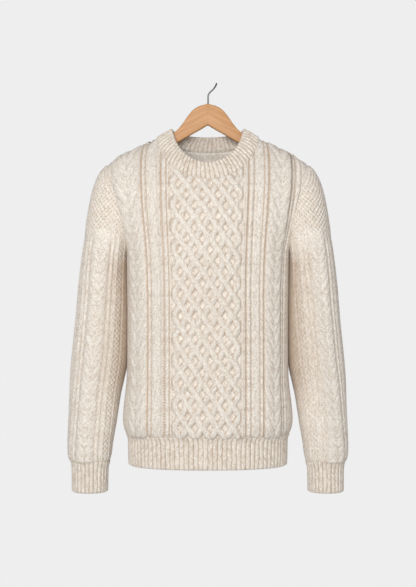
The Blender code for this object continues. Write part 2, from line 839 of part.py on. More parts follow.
def body_ring(z):
    """The whole way round the body, from its left side by the front."""
    shares = np.linspace(0.0, 1.0, 121)
    width = np.full_like(shares, z)
    front, back = FRONT.grid.at(width, shares), BACK.grid.at(width, shares)
    mirrored = np.array([-1.0, 1.0, 1.0])
    ahead = np.concatenate([front[::-1] * mirrored, front[1:]]) * [1.0, -1.0, 1.0]
    behind = np.concatenate([back[::-1], (back * mirrored)[1:]])
    return np.concatenate([ahead, behind[1:-1]])


def make_hem_band():
    top = HEM_SEAM_Z - SEAM_GAP / 2
    rings = [body_ring(z) for z in np.linspace(HEM_Z, top, 9)]
    return ribbed_band("hem_band", ring_grid(rings), HEM_RIBS, 3, WALL, RIB_DEPTH, WOOL)


def make_cuff(name, side):
    shares = np.linspace(-0.5, 0.5, 121)[:-1]
    rings = [arm_ring(z, shares) * [side, 1.0, 1.0] for z in np.linspace(CUFF_Z, CUFF_SEAM_Z, 9)]
    if side < 0:
        rings = [ring[::-1] for ring in rings]
    return ribbed_band(name, ring_grid(rings), CUFF_RIBS, 2, WALL, RIB_DEPTH, WOOL)


def make_collar():
    turns = np.linspace(0.0, 2.0 * math.pi, 241)[:-1]
    low = neck_seam(turns)
    x, z = neck_oval(COLLAR_TOP, turns)
    reach = np.where(np.sin(turns) >= 0.0, COLLAR_TOP_FRONT, COLLAR_TOP_BACK)
    high = np.column_stack([x, -reach * np.sin(turns), z])
    rise = high - low
    rise = rise / np.linalg.norm(rise, axis=1)[:, None]
    low = low + rise * SEAM_GAP
    around = np.roll(low, -1, axis=0) - np.roll(low, 1, axis=0)
    out = np.cross(around, rise)
    out = out / np.linalg.norm(out, axis=1)[:, None]
    middle = (low + high) / 2 + 2.0 * COLLAR_BULGE * out
    rings = [
        low * (1 - t) ** 2 + middle * 2 * t * (1 - t) + high * t**2
        for t in np.linspace(0.0, 1.0, 9)
    ]
    return ribbed_band(
        "collar", ring_grid(rings), COLLAR_RIBS, 3, COLLAR_WALL, RIB_DEPTH, WOOL
    )


def make_wood():
    """The hanger's body: its outline, thick and rounded, with the hook's bore."""
    right = WOOD_TOP + WOOD_BOTTOM
    left = [Point(-p.x, p.z) for p in reversed(right[1:-1])]
    shaped = bmesh.new()
    front = -WOOD_THICKNESS / 2
    corners = [
        shaped.verts.new(from_rail((p.x, front, p.z)))
        for p in right + left
    ]
    face = shaped.faces.new(corners)
    grown = bmesh.ops.extrude_face_region(shaped, geom=[face])["geom"]
    moved = [item for item in grown if isinstance(item, bmesh.types.BMVert)]
    bmesh.ops.translate(shaped, verts=moved, vec=(0.0, WOOD_THICKNESS * MM, 0.0))
    bmesh.ops.recalc_face_normals(shaped, faces=shaped.faces)
    mesh = bpy.data.meshes.new("hanger_wood")
    shaped.to_mesh(mesh)
    shaped.free()
    mesh.materials.append(material(BEECH))
    wood = bpy.data.objects.new("hanger_wood", mesh)
    bpy.context.scene.collection.objects.link(wood)
    rounded = wood.modifiers.new("rounded edges", "BEVEL")
    rounded.width = WOOD_ROUND * MM
    rounded.segments = 3
    rounded.limit_method = "ANGLE"
    rounded.angle_limit = math.radians(60.0)
    bore = make_bore()
    drilled = wood.modifiers.new("hook bore", "BOOLEAN")
    drilled.operation = "DIFFERENCE"
    drilled.object = bore
    return wood


def make_bore():
    """The cutter for the hole that the hook's stem stands in."""
    shaped = bmesh.new()
    top = WOOD_TOP[0].z
    length = 2.0 * BORE_DEPTH
    bmesh.ops.create_cone(
        shaped,
        cap_ends=True,
        segments=16,
        radius1=BORE_RADIUS * MM,
        radius2=BORE_RADIUS * MM,
        depth=length * MM,
    )
    place = from_rail((HOOK_RISE[0].x, 0.0, top))
    bmesh.ops.translate(shaped, verts=shaped.verts, vec=Vector(place))
    mesh = bpy.data.meshes.new("bore_cutter")
    shaped.to_mesh(mesh)
    shaped.free()
    bore = bpy.data.objects.new("bore_cutter", mesh)
    bore.hide_render = True
    bore.display_type = "WIRE"
    bpy.context.scene.collection.objects.link(bore)
    return bore


def hook_path():
    """The wire's middle line: up with a sideways bend, back over the rail and down."""
    top = RAIL[2] + WIRE_RADIUS
    knots, across = [p.z for p in HOOK_RISE], [p.x for p in HOOK_RISE]

    def point(y, z):
        """The place at this depth and height where the wire hides behind its rise."""
        away = 1.0 + y / EYE_AWAY
        seen_z = (z - EYE_Z) / away + EYE_Z
        return (float(curve_through(knots, across, seen_z)) * away, y, z)

    stem = np.concatenate([np.linspace(-55.0, -26.0, 4), np.linspace(-23.0, -12.5, 7)])
    path = [point(0.0, z) for z in stem]
    for turn in np.linspace(0.0, math.pi, 15):
        z = top - HOOK_BEND + HOOK_BEND * math.sin(turn)
        path.append(point(HOOK_BEND * (1.0 - math.cos(turn)), z))
    path += [point(2.0 * HOOK_BEND, z) for z in np.linspace(-14.0, HOOK_TIP_Z, 4)]
    return path


def make_hook():
    curve = bpy.data.curves.new("hanger_hook", "CURVE")
    curve.dimensions = "3D"
    curve.bevel_depth = WIRE_RADIUS * MM
    curve.bevel_resolution = 2
    curve.use_fill_caps = True
    path = hook_path()
    spline = curve.splines.new("POLY")
    spline.points.add(len(path) - 1)
    for point, place in zip(spline.points, from_rail(path)):
        point.co = (*place, 1.0)
    curve.materials.append(material(STEEL))
    hook = bpy.data.objects.new("hanger_hook", curve)
    bpy.context.scene.collection.objects.link(hook)
    return hook


def main():
    for old in list(bpy.data.objects):
        bpy.data.objects.remove(old, do_unlink=True)
    make_body_panel("front", FRONT)
    make_body_panel("back", BACK)
    make_sleeve("sleeve_left", -1)
    make_sleeve("sleeve_right", 1)
    make_hem_band()
    make_cuff("cuff_left", -1)
    make_cuff("cuff_right", 1)
    make_collar()
    make_wood()
    make_hook()


main()
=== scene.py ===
"""A cream cable knit sweater on a wooden hanger: its cloth, wood, wire, light and camera.

Each piece of the garment is a class that knows its own sizes, builds its own
mesh and wears its own finish. Sizes are in millimetres about the middle of the
garment, as a knitter would chart them, and become metres in the shared frame
when a mesh is made.
"""

import logging
import math
from dataclasses import dataclass, field
from enum import Enum
from typing import Optional, Sequence

import bpy
import numpy as np
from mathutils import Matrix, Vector

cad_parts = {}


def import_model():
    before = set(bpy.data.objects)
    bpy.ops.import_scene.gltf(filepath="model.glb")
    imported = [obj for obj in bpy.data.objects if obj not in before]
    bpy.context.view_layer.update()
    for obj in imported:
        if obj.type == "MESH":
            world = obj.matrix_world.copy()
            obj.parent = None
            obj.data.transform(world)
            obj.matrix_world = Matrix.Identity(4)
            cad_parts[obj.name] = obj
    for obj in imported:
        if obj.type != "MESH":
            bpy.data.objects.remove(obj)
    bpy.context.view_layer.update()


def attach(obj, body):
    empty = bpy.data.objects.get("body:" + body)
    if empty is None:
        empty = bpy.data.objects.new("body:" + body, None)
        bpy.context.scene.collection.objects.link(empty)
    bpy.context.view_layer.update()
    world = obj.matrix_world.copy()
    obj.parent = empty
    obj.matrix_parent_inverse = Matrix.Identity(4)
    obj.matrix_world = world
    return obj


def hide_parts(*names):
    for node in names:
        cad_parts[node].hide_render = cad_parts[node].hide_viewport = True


LOG = logging.getLogger("sweater")
MM = 0.001

# The frame's origin is the rail's place in the hook, seen from the garment's middle.
RAIL = np.array([17.8, 15.0, 2.6])

Array = np.ndarray
Corner = tuple[str, Array | int, Array | int]
Socket = bpy.types.NodeSocket
Colour = tuple[float, float, float]


class Side(Enum):
    """A side of the garment, as seen from the front."""

    LEFT = -1
    RIGHT = 1


class Face(Enum):
    """The half of the body that a panel covers, and the way it faces along Y."""

    FRONT = -1
    BACK = 1


# Curves, tables and grids of points


def between(t: Array | float, start: Array, leave: Array, end: Array, arrive: Array) -> Array:
    """A smooth run from one end to the other.

    Args:
        t: share of the way, from 0 to 1.
        start: value at the start.
        leave: slope at the start.
        end: value at the end.
        arrive: slope at the end.

    Returns:
        The value at that share.
    """
    return (
        start * (2 * t**3 - 3 * t**2 + 1)
        + leave * (t**3 - 2 * t**2 + t)
        + end * (3 * t**2 - 2 * t**3)
        + arrive * (t**3 - t**2)
    )


def curve_through(knots: Sequence[float], values: Sequence[float], at: Array) -> Array:
    """A smooth curve through knots that never overshoots them.

    Args:
        knots: places of the knots, rising.
        values: the curve's value at each knot.
        at: where the curve is read.

    Returns:
        The curve's values at those places.
    """
    places, heights = np.asarray(knots, float), np.asarray(values, float)
    steps = np.diff(places)
    slopes = np.diff(heights) / steps
    before, after = slopes[:-1], slopes[1:]
    turns = before * after <= 0
    mean = 2.0 * before * after / np.where(turns, 1.0, before + after)
    tangents = np.concatenate([slopes[:1], np.where(turns, 0.0, mean), slopes[-1:]])
    at = np.clip(at, places[0], places[-1])
    span = np.clip(np.searchsorted(places, at, side="right") - 1, 0, len(steps) - 1)
    step = steps[span]
    leave, arrive = tangents[span] * step, tangents[span + 1] * step
    return between((at - places[span]) / step, heights[span], leave, heights[span + 1], arrive)


def ease(at: Array, start: float, end: float) -> Array:
    """0 at start and 1 at end, with soft ends."""
    t = np.clip((at - start) / (end - start), 0.0, 1.0)
    return t * t * (3.0 - 2.0 * t)


def plateau(at: Array, heights: tuple[float, float, float, float]) -> Array:
    """0, then 1 between the two middle heights, then 0 again, with soft ends."""
    return ease(at, heights[0], heights[1]) * (1.0 - ease(at, heights[2], heights[3]))


def evenly(points: Array, shares: Array) -> tuple[Array, float]:
    """Points at even shares of a polyline.

    Args:
        points: the polyline, one point a row.
        shares: shares of its length, from 0 to 1.

    Returns:
        The points there, and the polyline's length.
    """
    steps = np.linalg.norm(np.diff(points, axis=0), axis=1)
    along = np.concatenate([[0.0], np.cumsum(steps)])
    placed = [np.interp(shares * along[-1], along, points[:, axis]) for axis in range(3)]
    return np.stack(placed, axis=1), float(along[-1])


def snapped(lines: Array, marks: Sequence[float]) -> Array:
    """Evenly spread lines, with the nearest one moved onto each mark.

    Args:
        lines: places of the lines, rising.
        marks: places that a line has to meet.

    Returns:
        The lines, rising.
    """
    lines = lines.copy()
    for mark in marks:
        lines[int(np.argmin(np.abs(lines - mark)))] = mark
    return np.sort(lines)


def softened(points: Array, reach: int) -> Array:
    """Evens out kinks up the cloth, leaving its two ends where they are.

    Args:
        points: points by row and column.
        reach: how many rows below and above each row count.

    Returns:
        The points, each the mean of its column's near ones.
    """
    below = 2.0 * points[:1] - points[reach:0:-1]
    above = 2.0 * points[-1:] - points[-2 : -reach - 2 : -1]
    padded = np.concatenate([below, points, above])
    count = 2 * reach + 1
    return sum(padded[k : k + len(points)] for k in range(count)) / count


class PointGrid:
    """A table of points in rows and columns, read between them."""

    def __init__(self, rows: Array, columns: Array, points: Array) -> None:
        """Keeps the places of the rows and columns, and the points."""
        self.rows, self.columns, self.points = rows, columns, points

    def at(self, row: Array, column: Array) -> Array:
        """The points at these rows and columns, which may lie between the table's own.

        Args:
            row: places among the table's rows.
            column: places among the table's columns.

        Returns:
            The points there.
        """
        r = np.interp(row, self.rows, np.arange(len(self.rows)))
        c = np.interp(column, self.columns, np.arange(len(self.columns)))
        r0 = np.minimum(r.astype(int), len(self.rows) - 2)
        c0 = np.minimum(c.astype(int), len(self.columns) - 2)
        r, c = (r - r0)[..., None], (c - c0)[..., None]
        low = self.points[r0, c0] * (1 - c) + self.points[r0, c0 + 1] * c
        high = self.points[r0 + 1, c0] * (1 - c) + self.points[r0 + 1, c0 + 1] * c
        return low * (1 - r) + high * r


# The garment's measurements


@dataclass(frozen=True)
class Section:
    """The body's plan at one height: depth in front and behind, and squareness."""

    z: float
    front: float
    back: float
    power: float


@dataclass(frozen=True)
class Edge:
    """How far out a panel's edge lies at one height."""

    z: float
    x: float


@dataclass(frozen=True)
class ArmSection:
    """A sleeve's plan at one height: inner and outer side, and half its depth."""

    z: float
    inner: float
    outer: float
    half_depth: float


@dataclass(frozen=True)
class NeckOval:
    """An edge round the neck: its half width, its height at the sides and its dips."""

    half_width: float
    side_z: float
    front_dip: float
    back_dip: float

    def at(self, turn: Array) -> tuple[Array, Array]:
        """x and z round the neck, from the left side by the front, then by the back.

        Args:
            turn: angles round the neck in radians, 0 at the left side.

        Returns:
            x and z there.
        """
        lift = math.sqrt(Measures.NECK_REST)
        sink = (np.sqrt(np.sin(turn) ** 2 + Measures.NECK_REST) - lift) / (
            math.sqrt(1 + Measures.NECK_REST) - lift
        )
        dip = np.where(np.sin(turn) >= 0.0, self.front_dip, self.back_dip)
        return -self.half_width * np.cos(turn), self.side_z - dip * sink


class Measures:
    """The measurements that all the pieces share, the same as the solids have."""

    WALL = 3.0
    COLLAR_WALL = 4.5
    SEAM_TUCK = 1.6
    STITCH_WIDTH = 4.9
    STITCH_HEIGHT = 5.2
    NECK_REST = 0.02
    NECK_SIDE_Z = -109.7
    SHOULDER_TIP_Z = -166.0
    ARMPIT_Z = -344.0
    HEM_SEAM_Z = -714.4
    HEM_Z = -778.0
    CUFF_SEAM_Z = -771.0
    CUFF_Z = -833.8
    ARMHOLE_DEPTH = 52.0
    ARM_POWER = 2.1
    FAN_START = (0.54, -0.235)
    FAN_END = (0.1, -1.0)
    BODY = (
        Section(-780.0, 99.0, 86.0, 2.3),
        Section(-724.0, 101.0, 88.0, 2.3),
        Section(-705.0, 109.0, 95.0, 2.5),
        Section(-680.0, 113.0, 98.0, 2.5),
        Section(-560.0, 111.0, 96.0, 2.45),
        Section(-420.0, 108.0, 94.0, 2.4),
        Section(-340.0, 105.0, 91.0, 2.4),
        Section(-270.0, 97.0, 85.0, 2.35),
        Section(-230.0, 87.0, 78.0, 2.35),
        Section(-200.0, 75.0, 71.0, 2.35),
        Section(-166.0, 54.0, 60.0, 2.35),
        Section(-133.0, 33.0, 45.0, 2.35),
        Section(-120.0, 24.0, 34.0, 2.35),
        Section(-104.0, 15.0, 17.0, 2.35),
    )
    SIDE_SEAM = (
        Edge(-780.0, 159.5),
        Edge(-765.0, 160.5),
        Edge(-724.0, 161.5),
        Edge(-705.0, 170.0),
        Edge(-684.0, 173.5),
        Edge(-655.0, 171.5),
        Edge(-590.0, 165.5),
        Edge(-344.0, 165.0),
        Edge(-297.0, 168.0),
        Edge(-262.0, 175.0),
        Edge(-233.0, 184.0),
        Edge(-205.0, 194.0),
        Edge(-185.0, 200.0),
        Edge(-166.0, 204.0),
    )
    SHOULDER_SEAM = (
        Edge(-166.0, 204.0),
        Edge(-162.0, 199.5),
        Edge(-154.2, 186.0),
        Edge(-143.0, 163.5),
        Edge(-130.0, 138.0),
        Edge(-117.0, 115.0),
        Edge(-109.7, 103.5),
        Edge(-104.0, 92.0),
    )
    ARM = (
        ArmSection(-833.8, 206.5, 276.5, 34.0),
        ArmSection(-785.0, 205.5, 277.0, 34.5),
        ArmSection(-771.0, 201.5, 279.5, 38.0),
        ArmSection(-757.0, 197.5, 284.0, 42.0),
        ArmSection(-735.0, 195.0, 285.0, 44.0),
        ArmSection(-700.0, 190.0, 284.5, 46.0),
        ArmSection(-648.0, 183.0, 282.5, 49.0),
        ArmSection(-600.0, 174.5, 280.5, 52.0),
        ArmSection(-565.0, 168.2, 278.0, 53.0),
        ArmSection(-529.0, 166.8, 275.0, 54.0),
        ArmSection(-443.0, 166.6, 265.5, 56.0),
        ArmSection(-372.0, 167.0, 257.5, 56.0),
    )
    NECK_SEAM = NeckOval(103.5, -109.7, 90.3, 23.6)
    COLLAR_TOP = NeckOval(72.0, -91.4, 72.9, 11.9)
    COLLAR_TOP_FRONT = 66.0
    COLLAR_TOP_BACK = 40.0
    COLLAR_BULGE = 1.2

    @classmethod
    def column(cls, table: Sequence, name: str, at: Array) -> Array:
        """A named column of one of the tables, read at any height."""
        return curve_through([row.z for row in table], [getattr(row, name) for row in table], at)

    @classmethod
    def edge_x(cls, z: float) -> float:
        """How far out a body panel ends: at the side seam, armhole or shoulder seam."""
        table = cls.SHOULDER_SEAM if z > cls.SHOULDER_TIP_Z else cls.SIDE_SEAM
        return float(cls.column(table, "x", z))

    @classmethod
    def armhole_stand(cls, z: float) -> float:
        """How far a panel's edge stands from the middle plane, at the armhole.

        Args:
            z: height.

        Returns:
            The distance, 0 below the armhole and above it.
        """
        middle = (cls.SHOULDER_TIP_Z + cls.ARMPIT_Z) / 2
        share = (z - middle) / (cls.SHOULDER_TIP_Z - middle)
        return cls.ARMHOLE_DEPTH * math.sqrt(max(0.0, 1.0 - share * share))


class BodyForm:
    """The front or back half of the body as a sheet, by share across and height."""

    LEVELS = np.arange(-780.0, -105.0, 3.0)
    SHARES = np.linspace(0.0, 1.0, 161)

    def __init__(self, face: Face) -> None:
        """Works out the sheet's plan at every level.

        Args:
            face: the half of the body that it is.
        """
        self.facing = float(face.value)
        name = "front" if face is Face.FRONT else "back"
        rows, widths = [], []
        for z in self.LEVELS:
            depth = float(Measures.column(Measures.BODY, name, z))
            power = float(Measures.column(Measures.BODY, "power", z))
            out, stand = Measures.edge_x(z), Measures.armhole_stand(z)
            reach = out / (1.0 - (stand / depth) ** power) ** (1.0 / power)
            last = math.asin(min(1.0, (out / reach) ** (power / 2.0)))
            turn = np.linspace(0.0, last, 321)
            x = reach * np.sin(turn) ** (2.0 / power)
            y = depth * np.maximum(np.cos(turn), 0.0) ** (2.0 / power)
            if stand == 0.0:
                y[-1] = 0.0
            points, width = evenly(np.stack([x, y, np.full_like(x, z)], axis=1), self.SHARES)
            rows.append(points)
            widths.append(width)
        self.widths = np.array(widths)
        self.grid = PointGrid(self.LEVELS, self.SHARES, np.array(rows))

    def half_width(self, z: Array) -> Array:
        """The cloth's width from the middle to the panel's edge."""
        return np.interp(z, self.LEVELS, self.widths)

    def place(self, share: Array, z: Array) -> Array:
        """Points at signed shares of the half width, which run to the panel's own right.

        Args:
            share: signed shares of the panel's half width.
            z: heights.

        Returns:
            The points there.
        """
        points = self.grid.at(z, np.clip(np.abs(share), 0.0, 1.0))
        across = np.sign(share) * -self.facing
        return np.stack([points[..., 0] * across, points[..., 1] * self.facing, z], axis=-1)

    def share_at(self, x: float, z: float) -> float:
        """The share of the half width at which the sheet is this far out."""
        row = self.grid.at(np.full(len(self.SHARES), z), self.SHARES)
        return float(np.interp(abs(x), row[:, 0], self.SHARES))

    def ring_half(self, z: float) -> Array:
        """The sheet from the middle to its edge, at one height, in the x > 0 half."""
        return self.grid.at(np.full(len(self.SHARES), z), self.SHARES)


class SleeveForm:
    """A sleeve from cuff seam to armhole, by share round it and share along it."""

    SHARES = np.linspace(-0.5, 0.5, 161)
    RISES = np.linspace(0.0, 1.0, 161)
    FAN_STEPS = 32

    def __init__(self, side: Side) -> None:
        """Works out the sleeve's rings, and then its columns.

        Args:
            side: the side of the garment that it is on.
        """
        self.side = float(side.value)
        top = Measures.ARM[-1].z
        levels = np.linspace(Measures.CUFF_SEAM_Z, top, 49)
        rings = [self.level_ring(z, self.SHARES) for z in levels]
        start, end = self.armhole_loop(), rings[-1]
        start = start - np.array([Measures.SEAM_TUCK, 0.0, 0.0])
        chord = np.linalg.norm(end - start, axis=1)[:, None]
        leave = chord * np.array([Measures.FAN_START[0], 0.0, Measures.FAN_START[1]])
        arrive = chord * np.array([Measures.FAN_END[0], 0.0, Measures.FAN_END[1]])
        for t in np.linspace(1.0, 0.0, self.FAN_STEPS + 1)[1:]:
            rings.append(between(t, start, leave, end, arrive))
        stack = np.array(rings)
        columns = [evenly(stack[:, i], self.RISES) for i in range(len(self.SHARES))]
        self.lengths = np.array([length for _, length in columns])
        points = np.stack([points for points, _ in columns], axis=1)
        self.grid = PointGrid(self.RISES, self.SHARES, points)
        self.girths = np.linalg.norm(np.diff(stack, axis=1), axis=2).sum(axis=1)
        crown = stack[:, len(self.SHARES) // 2]
        climbs = np.linalg.norm(np.diff(crown, axis=0), axis=1)
        self.crown = np.concatenate([[0.0], np.cumsum(climbs)])

    @staticmethod
    def level_ring(z: float, shares: Array) -> Array:
        """A level ring at x > 0, from the inner side by the front, outside and back.

        Args:
            z: height.
            shares: places round the ring, from -0.5 to 0.5.

        Returns:
            The points there.
        """
        inner, outer = (float(Measures.column(Measures.ARM, s, z)) for s in ("inner", "outer"))
        depth = float(Measures.column(Measures.ARM, "half_depth", z))
        turn = np.linspace(-math.pi, math.pi, 481)
        cos, sin = np.cos(turn), np.sin(turn)
        round_off = 2 / Measures.ARM_POWER
        x = (inner + outer) / 2 + (outer - inner) / 2 * np.sign(cos) * np.abs(cos) ** round_off
        y = depth * np.sign(sin) * np.abs(sin) ** round_off
        return evenly(np.stack([x, y, np.full_like(x, z)], axis=1), shares + 0.5)[0]

    @classmethod
    def armhole_loop(cls) -> Array:
        """Points round the armhole at x > 0, the shoulder's tip in the middle.

        Returns:
            The points, one for each of the sleeve's shares.
        """
        turn = np.linspace(-math.pi, math.pi, 481)
        middle = (Measures.SHOULDER_TIP_Z + Measures.ARMPIT_Z) / 2
        z = middle + (Measures.SHOULDER_TIP_Z - middle) * np.cos(turn)
        x = Measures.column(Measures.SIDE_SEAM, "x", z)
        y = Measures.ARMHOLE_DEPTH * np.sin(turn)
        return evenly(np.stack([x, y, z], axis=1), cls.SHARES + 0.5)[0]

    def girth(self, v: Array) -> Array:
        """The cloth's width round the sleeve, v above the cuff seam."""
        return np.interp(v, self.crown, self.girths)

    def length(self, share: Array) -> Array:
        """The cloth's length from cuff seam to armhole, at a share of the way round."""
        return np.interp(share, self.SHARES, self.lengths)

    def place(self, share: Array, rise: Array) -> Array:
        """Points at shares round and along; shares run to the sleeve's own right.

        Args:
            share: shares of the way round, 0 on the outer side.
            rise: shares of the way up from the cuff seam.

        Returns:
            The points there.
        """
        turned = self.side * share
        turned = (turned + 0.5) % 1.0 - 0.5
        points = self.grid.at(rise, turned)
        return points * np.array([self.side, 1.0, 1.0])


# The knit: what stands up from the cloth


class Knit:
    """A stretch of knitting: how far it stands out, and how its stitches run.

    What is laid on the ground is kept as a layer with a chart of its own, so
    that its stitches follow it and end cleanly at its sides.
    """

    def __init__(self, w: Array, v: Array, purl: float) -> None:
        """Starts with an even ground of purl or plain stitches.

        Args:
            w: place across the cloth, by row and column.
            v: place up the cloth.
            purl: 1 for a purl ground and 0 for a plain one.
        """
        self.w, self.v = w, v
        self.relief = np.zeros_like(w)
        self.purl = np.full_like(w, purl)
        self.layer = np.zeros(w.shape, int)
        self.charts = [self._chart(w, v)]

    @staticmethod
    def _chart(across: Array, along: Array) -> Array:
        """Places counted in stitches and rows, from millimetres."""
        counted = (across / Measures.STITCH_WIDTH, along / Measures.STITCH_HEIGHT)
        return np.stack(counted, axis=-1)

    def lay(self, height: Array, across: Array, along: Array, where: Array) -> None:
        """Lays plain stitches over the ground wherever they stand higher.

        Args:
            height: how far they stand out.
            across: millimetres across their column.
            along: millimetres along their column.
            where: whether they lie there at all.
        """
        top = where & (height > self.relief)
        self.relief = np.where(top, height, self.relief)
        self.purl = np.where(top, 0.0, self.purl)
        self.layer = np.where(top, len(self.charts), self.layer)
        self.charts.append(self._chart(across, along))

    def fade(self, share: Array) -> None:
        """Sinks what was laid back into the ground by a share from 0 to 1."""
        self.relief = self.relief * (1.0 - share)
        self.purl = np.maximum(self.purl, share)

    def moss(self, height: Array | float, where: Array) -> None:
        """Raises small bumps in staggered rows on the ground.

        Args:
            height: how high the bumps stand.
            where: whether they lie there.
        """
        turn, climb = self.w / Measures.STITCH_WIDTH, self.v / Measures.STITCH_HEIGHT
        bumps = height * (0.5 + 0.5 * np.sin(np.pi * turn) * np.sin(np.pi * climb))
        self.relief = np.where(where, np.maximum(self.relief, bumps), self.relief)


def arch(off: Array, half_width: float) -> Array:
    """A round ridge's height, from 1 in its middle to 0 at its sides."""
    return np.sqrt(np.clip(1.0 - (off / half_width) ** 2, 0.0, 1.0))


@dataclass(frozen=True)
class Rib:
    """One upright rib, plain or twisted."""

    place: float
    half_width: float
    height: float
    twist: float = 0.0

    def lay(self, knit: Knit) -> None:
        """Lays the rib on the ground.

        Args:
            knit: what it is laid on.
        """
        off = knit.w - self.place
        height = self.height * arch(off, self.half_width)
        if self.twist:
            lobe = np.cos(2.0 * np.pi * (knit.v / self.twist - 0.35 * off / self.half_width))
            height = height * (0.66 + 0.34 * lobe)
        across = (0.5 * off / self.half_width + 0.5) * Measures.STITCH_WIDTH
        knit.lay(height, across, knit.v, np.abs(off) < self.half_width)


@dataclass(frozen=True)
class Plain:
    """A plain stretch of knit columns."""

    start: float
    end: float
    height: float = 1.0

    def lay(self, knit: Knit) -> None:
        """Lays the stretch on the ground, with whole columns.

        Args:
            knit: what it is laid on.
        """
        count = max(1, round((self.end - self.start) / Measures.STITCH_WIDTH))
        turn = (knit.w - self.start) / (self.end - self.start) * count
        edge = np.minimum(knit.w - self.start, self.end - knit.w)
        columns = 0.72 + 0.28 * np.abs(np.sin(np.pi * turn))
        height = self.height * ease(edge, 0.0, 1.6) * columns
        knit.lay(height, turn * Measures.STITCH_WIDTH, knit.v, edge > 0.0)


@dataclass(frozen=True)
class Groove:
    """A narrow sunk line beside a rib, in some places a row of small holes."""

    place: float
    half_width: float = 1.5
    depth: float = 1.1
    hole_rows: int = 0

    def cut(self, knit: Knit) -> None:
        """Sinks the groove into what is there.

        Args:
            knit: what it is cut into.
        """
        sunk = arch(knit.w - self.place, self.half_width)
        if self.hole_rows:
            turn = np.arange(knit.w.shape[0])[:, None] / self.hole_rows
            sunk = sunk * (0.12 + 0.88 * np.cos(np.pi * turn) ** 2)
        knit.relief = knit.relief * (1.0 - sunk) - self.depth * sunk


@dataclass(frozen=True)
class Cable:
    """Nested V's with their points down, each arm a plump leaf."""

    place: float
    half_width: float
    height: float
    pitch: float
    slope: float
    lag: float = 0.12
    widen: float = 0.0
    start: float = 0.0
    join: float = 0.6

    def lay(self, knit: Knit, climb: Array) -> None:
        """Lays the cable on the ground.

        Args:
            knit: what it is laid on.
            climb: how far its outer arm has widened, from 0 to 1.
        """
        off = knit.w - self.place
        way = np.where(off < 0.0, -1.0, 1.0)
        outer = off * self.place > 0.0
        wide = self.half_width * (1.0 + self.widen * climb * outer)
        share = np.clip(np.abs(off) / wide, 0.0, 1.0)
        # Leaves rise outwards, more steeply towards their tips, and the two arms take turns.
        lean = self.slope * self.half_width * (0.72 * share + 0.36 * share**4)
        turns = (knit.v - self.start - lean) / self.pitch + self.lag * way / 2.0
        leaf = turns - np.round(turns)
        end = np.sqrt(np.clip(1.0 - share**7, 0.0, 1.0))
        swell = end * (self.join + (1.0 - self.join) * arch(leaf, 0.5))
        belly = 0.70 + 0.30 * np.sin(np.pi * np.clip(share * 0.92 + 0.04, 0.0, 1.0))
        tilt = math.hypot(1.0, self.slope)
        thick = max(1, round(self.pitch / tilt / Measures.STITCH_WIDTH))
        along = (np.abs(off) + self.slope * knit.v) / tilt
        knit.lay(self.height * belly * swell, turns * thick * Measures.STITCH_WIDTH, along,
                 np.abs(off) < wide)


@dataclass(frozen=True)
class Lattice:
    """Strands that cross and turn back at the panel's sides."""

    left: float = -68.6
    right: float = 63.1
    columns: int = 9
    rise: float = 21.9
    half_width: float = 6.1
    height: float = 4.8
    turn_round: float = 3.0
    under_lift: float = 1.4
    dip: float = 0.92
    dip_width: float = 0.95
    ground_moss: float = 1.2

    def lay(self, knit: Knit) -> None:
        """Lays both families of strands, one over the other at each crossing.

        Args:
            knit: what it is laid on.
        """
        w, v = knit.w, knit.v
        step = (self.right - self.left) / self.columns
        length = math.hypot(step, self.rise)
        far = step * self.rise / length
        inside = (w > self.left - 1.0) & (w < self.right + 1.0)
        rim = np.minimum(w - self.left, self.right - w)
        middle = inside & (rim > 0.5 * step)
        turns = (w - self.left) / step
        down, up = turns + v / self.rise, turns - v / self.rise
        off_down = (down - (2.0 * np.round((down - 1.0) / 2.0) + 1.0)) * far
        off_up = (up - (2.0 * np.round((up - 1.0) / 2.0) + 1.0)) * far
        under = self.under_lift * arch(off_up, self.half_width)
        crossed = np.exp(-((off_down / (self.dip_width * self.half_width)) ** 2))
        under = under * (1.0 - self.dip * crossed)
        near = np.abs(off_up) < self.half_width
        knit.lay(self.height * under, off_up, (w * step + v * self.rise) / length, middle & near)
        over = arch(off_down, self.half_width)
        near = np.abs(off_down) < self.half_width
        knit.lay(self.height * over, off_down, (v * self.rise - w * step) / length, middle & near)
        for edge, first in ((w - self.left, 1.0), (self.right - w, 1.0 + self.columns)):
            row = 2.0 * np.round((v / self.rise - first) / 2.0) + first
            run = (v / self.rise - row) * step
            off = (np.hypot(run, self.turn_round) - edge) * self.rise / length
            near = inside & (edge < 0.55 * step) & (np.abs(off) < self.half_width)
            knit.lay(self.height * arch(off, self.half_width), off, v, near)


# Finishes


